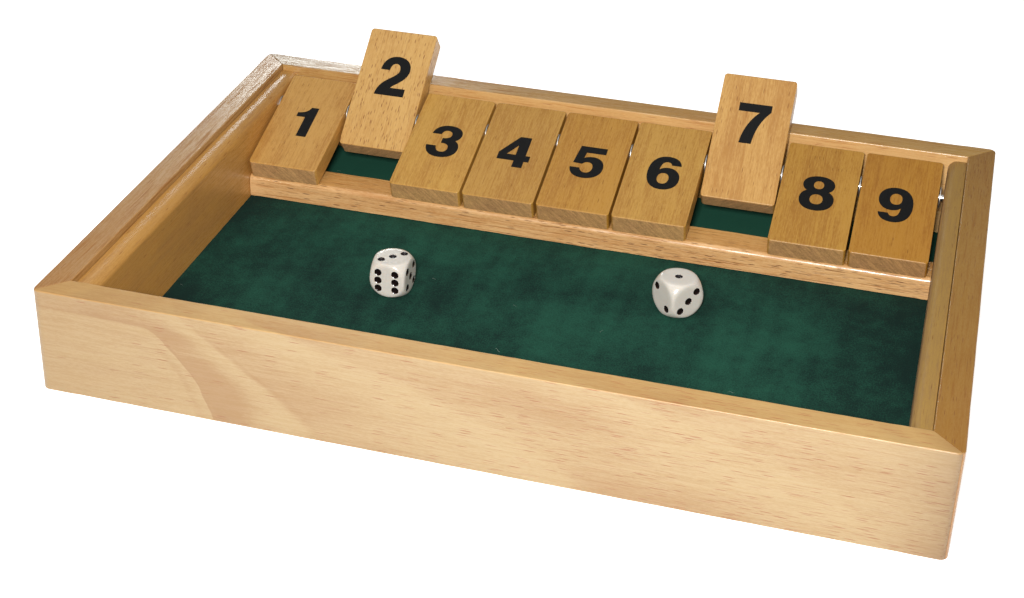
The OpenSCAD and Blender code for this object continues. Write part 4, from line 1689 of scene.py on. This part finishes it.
def build_die(name):
    """A cube rounded by a ball with soft edges, with a painted hollow at each pip point."""
    graph, given, put = node_group(
        name,
        "GeometryNodeTree",
        {
            "Geometry": "Geometry",
            "Size": 16 * MM,
            "Ball Share": 1.34,
            "Edge Power": 30.0,
            "Pip Ball Radius": 2 * MM,
            "Centre": "Vector",
            "Turn": "Vector",
            "Body Material": "Material",
            "Pip Material": "Material",
        },
        {"Geometry": "Geometry"},
    )
    size = given["Size"]
    ball = graph.times(graph.times(size, given["Ball Share"]), 0.5)
    power = given["Edge Power"]

    def shell(reach):
        """Distance of the shell from the middle, where the bare cube's is the given reach."""
        share_of_ball = graph.math("POWER", graph.math("DIVIDE", reach, ball), power)
        root = graph.math("DIVIDE", -1.0, power)
        return graph.times(reach, graph.math("POWER", graph.plus(share_of_ball, 1.0), root))

    cube = graph.geometry(
        "MeshCube",
        {"Size": graph.joined(size, size, size), "Vertices X": 33, "Vertices Y": 33, "Vertices Z": 33},
    )
    spot = graph.geometry("InputPosition")
    reach = graph.vector("LENGTH", spot)
    place = graph.scaled(graph.vector("NORMALIZE", spot), shell(reach))
    soft = graph.geometry("SetPosition", {"Geometry": cube, "Position": place})
    hollow = graph.geometry("MeshIcoSphere", {"Radius": given["Pip Ball Radius"], "Subdivisions": 4})
    hollows = graph.geometry("InstanceOnPoints", {"Points": given["Geometry"], "Instance": hollow})
    inputs = {"Mesh 1": soft, "Mesh 2": graph.geometry("RealizeInstances", {0: hollows})}
    drilled = graph.geometry("MeshBoolean", inputs, operation="DIFFERENCE", solver="EXACT")

    # A face that lies below the shell belongs to a pip
    direction = graph.vector("ABSOLUTE", graph.vector("NORMALIZE", spot))
    a, b, c = graph.parts(direction)
    steepest = graph.math("MAXIMUM", graph.math("MAXIMUM", a, b), c)
    bare = graph.math("DIVIDE", graph.times(size, 0.5), steepest)
    below = graph.minus(shell(bare), reach)
    in_pip = graph.math("GREATER_THAN", below, 0.04 * MM)
    body = graph.realized(drilled, given["Body Material"])
    inputs = {0: body, "Selection": in_pip, "Material": given["Pip Material"]}
    painted = graph.geometry("SetMaterial", inputs)
    rotation = graph.first("FunctionNodeEulerToRotation", {0: given["Turn"]})
    inputs = {0: painted, "Translation": given["Centre"], "Rotation": rotation}
    put("Geometry", graph.geometry("Transform", inputs))
    return graph.tree


class SHUTBOX_OT_dice(Operator):
    """Makes the two dice"""

    bl_idname = "shut_box.dice"
    bl_label = "Dice"

    def execute(self, context):
        settings = context.scene.shut_box.dice
        body = known_material("ivory_plastic", dice_surface, settings)
        pips = known_material("pip_paint", pip_surface, settings)
        half_pip = settings.pip_width / 2
        ball = (half_pip ** 2 + settings.pip_depth ** 2) / (2 * settings.pip_depth)
        # The numbers on the front, right, back, left, top and bottom, and the turn
        dice = {
            "die_1": ((6, 5, 1, 2, 3, 4), settings.turn_1),
            "die_2": ((3, 5, 4, 2, 1, 6), settings.turn_2),
        }
        for node, (numbers, turned) in dice.items():
            low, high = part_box(node)
            size = high.z - low.z
            step = settings.pip_spread * size
            lift = size / 2 + ball - settings.pip_depth
            points = []
            for turns, number in zip(FACE_TURNS, numbers):
                tip, spin = (math.radians(degrees) for degrees in turns)
                facing = Matrix.Rotation(spin, 4, "Z") @ Matrix.Rotation(tip, 4, "X")
                for x, y in pip_places(number):
                    points.append(facing @ Vector((x * step, y * step, lift)))
            die = tree_from_points(
                f"{node}_plastic",
                points,
                known_group("Die", build_die),
                {
                    "Size": size,
                    "Ball Share": settings.ball,
                    "Edge Power": settings.softness,
                    "Pip Ball Radius": ball,
                    "Centre": (low + high) / 2,
                    "Turn": (0.0, 0.0, turned),
                    "Body Material": body,
                    "Pip Material": pips,
                },
            )
            crisp_shading(die, 35)
            finish_piece(die, f"{node}_body", "dice", node)
        return {"FINISHED"}


def soft_light(name, power, size, place, target, tint=(1, 1, 1)):
    """A square area light that looks at a point."""
    data = bpy.data.lights.new(name, "AREA")
    data.shape = "SQUARE"
    data.size = size
    data.energy = power
    data.color = tint
    light = link_object(name, data)
    light.location = place
    light.rotation_euler = (Vector(target) - Vector(place)).to_track_quat("-Z", "Y").to_euler()


class SHUTBOX_OT_stage(Operator):
    """Makes the floor, the soft lights and the camera"""

    bl_idname = "shut_box.stage"
    bl_label = "Stage"

    def execute(self, context):
        settings = context.scene.shut_box.stage
        reach = 6.0
        corners = [(x * reach, y * reach, 0) for x, y in ((-1, -1), (1, -1), (1, 1), (-1, 1))]
        floor = mesh_object("floor", corners, [(0, 1, 2, 3)])
        floor.location.z = -0.05 * MM
        floor.data.materials.append(known_material("pale_floor", floor_surface, settings))
        floor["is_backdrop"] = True

        world = bpy.data.worlds.new("soft_sky")
        world.use_nodes = True
        backdrop = world.node_tree.nodes["Background"]
        backdrop.inputs["Color"].default_value = (1, 1, 1, 1)
        backdrop.inputs["Strength"].default_value = settings.sky
        context.scene.world = world

        middle, corner, cool = (0, 0, 0), (-0.15, 0.1, 0.045), (0.87, 0.92, 0.9)
        soft_light("key_light", settings.key, 0.09, (0.11, -0.65, 0.438), middle)
        soft_light("window_light", settings.window, 0.26, (-0.82, 1.85, 0.80), corner, cool)
        soft_light("top_light", settings.top, 1.4, (-0.2, 0.1, 1.8), middle)

        camera_data = bpy.data.cameras.new("camera")
        camera_data.lens = settings.lens
        camera_data.sensor_width = 36
        camera_data.sensor_fit = "HORIZONTAL"
        camera_data.shift_x, camera_data.shift_y = settings.shift
        camera_data.clip_start = 0.05
        camera_data.dof.use_dof = False
        camera = link_object("camera", camera_data)
        azimuth, flat = settings.azimuth, math.cos(settings.elevation)
        back = Vector((math.sin(azimuth) * flat, -math.cos(azimuth) * flat, math.sin(settings.elevation)))
        side = Vector((0, 0, 1)).cross(back).normalized()
        rise = back.cross(side)
        cosine, sine = math.cos(settings.roll), math.sin(settings.roll)
        axes = Matrix((cosine * side + sine * rise, cosine * rise - sine * side, back)).transposed()
        place = Vector(settings.target) + back * settings.distance
        camera.matrix_world = Matrix.Translation(place) @ axes.to_4x4()
        context.scene.camera = camera
        context.scene.view_settings.view_transform = "Standard"
        return {"FINISHED"}


class SHUTBOX_PT_panel(Panel):
    """Lists the game's pieces with their settings"""

    bl_idname = "SHUTBOX_PT_panel"
    bl_label = "Shut the Box"
    bl_space_type = "VIEW_3D"
    bl_region_type = "UI"
    bl_category = "Shut the Box"

    def draw(self, context):
        settings = context.scene.shut_box
        rows = (
            (settings.stage, (SHUTBOX_OT_stage,)),
            (settings.frame, (SHUTBOX_OT_frame_rails, SHUTBOX_OT_liner_boards, SHUTBOX_OT_base_panel)),
            (settings.bar, (SHUTBOX_OT_rest_bar,)),
            (settings.felt, (SHUTBOX_OT_playing_felt,)),
            (settings.hinge, (SHUTBOX_OT_hinge,)),
            (settings.tiles, (SHUTBOX_OT_tiles, SHUTBOX_OT_numerals)),
            (settings.dice, (SHUTBOX_OT_dice,)),
        )
        for group, operators in rows:
            box = self.layout.box()
            for name in group.__annotations__:
                box.prop(group, name)
            for operator in operators:
                box.operator(operator.bl_idname)


SETTINGS = (
    FrameSettings, BarSettings, TileSettings, HingeSettings, FeltSettings, DiceSettings, StageSettings,
    ShutTheBoxSettings,
)
# In the order in which the game is made
OPERATORS = (
    SHUTBOX_OT_stage, SHUTBOX_OT_frame_rails, SHUTBOX_OT_liner_boards, SHUTBOX_OT_base_panel,
    SHUTBOX_OT_rest_bar, SHUTBOX_OT_playing_felt, SHUTBOX_OT_hinge, SHUTBOX_OT_tiles, SHUTBOX_OT_numerals,
    SHUTBOX_OT_dice,
)
CLASSES = (*SETTINGS, *OPERATORS, SHUTBOX_PT_panel)


def register():
    for cls in CLASSES:
        bpy.utils.register_class(cls)
    bpy.types.Scene.shut_box = PointerProperty(type=ShutTheBoxSettings)


def unregister():
    del bpy.types.Scene.shut_box
    for cls in reversed(CLASSES):
        bpy.utils.unregister_class(cls)


def main():
    register()
    bpy.ops.shut_box.stage()
    bpy.ops.shut_box.frame_rails()
    bpy.ops.shut_box.liner_boards()
    bpy.ops.shut_box.base_panel()
    bpy.ops.shut_box.rest_bar()
    bpy.ops.shut_box.playing_felt()
    bpy.ops.shut_box.hinge()
    bpy.ops.shut_box.tiles()
    bpy.ops.shut_box.numerals()
    bpy.ops.shut_box.dice()
    boxes = {"cad": CAD_BOX, "visual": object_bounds()}
    {name: [list(corner) for corner in box] for name, box in boxes.items()}


if __name__ == "__main__":
    main()
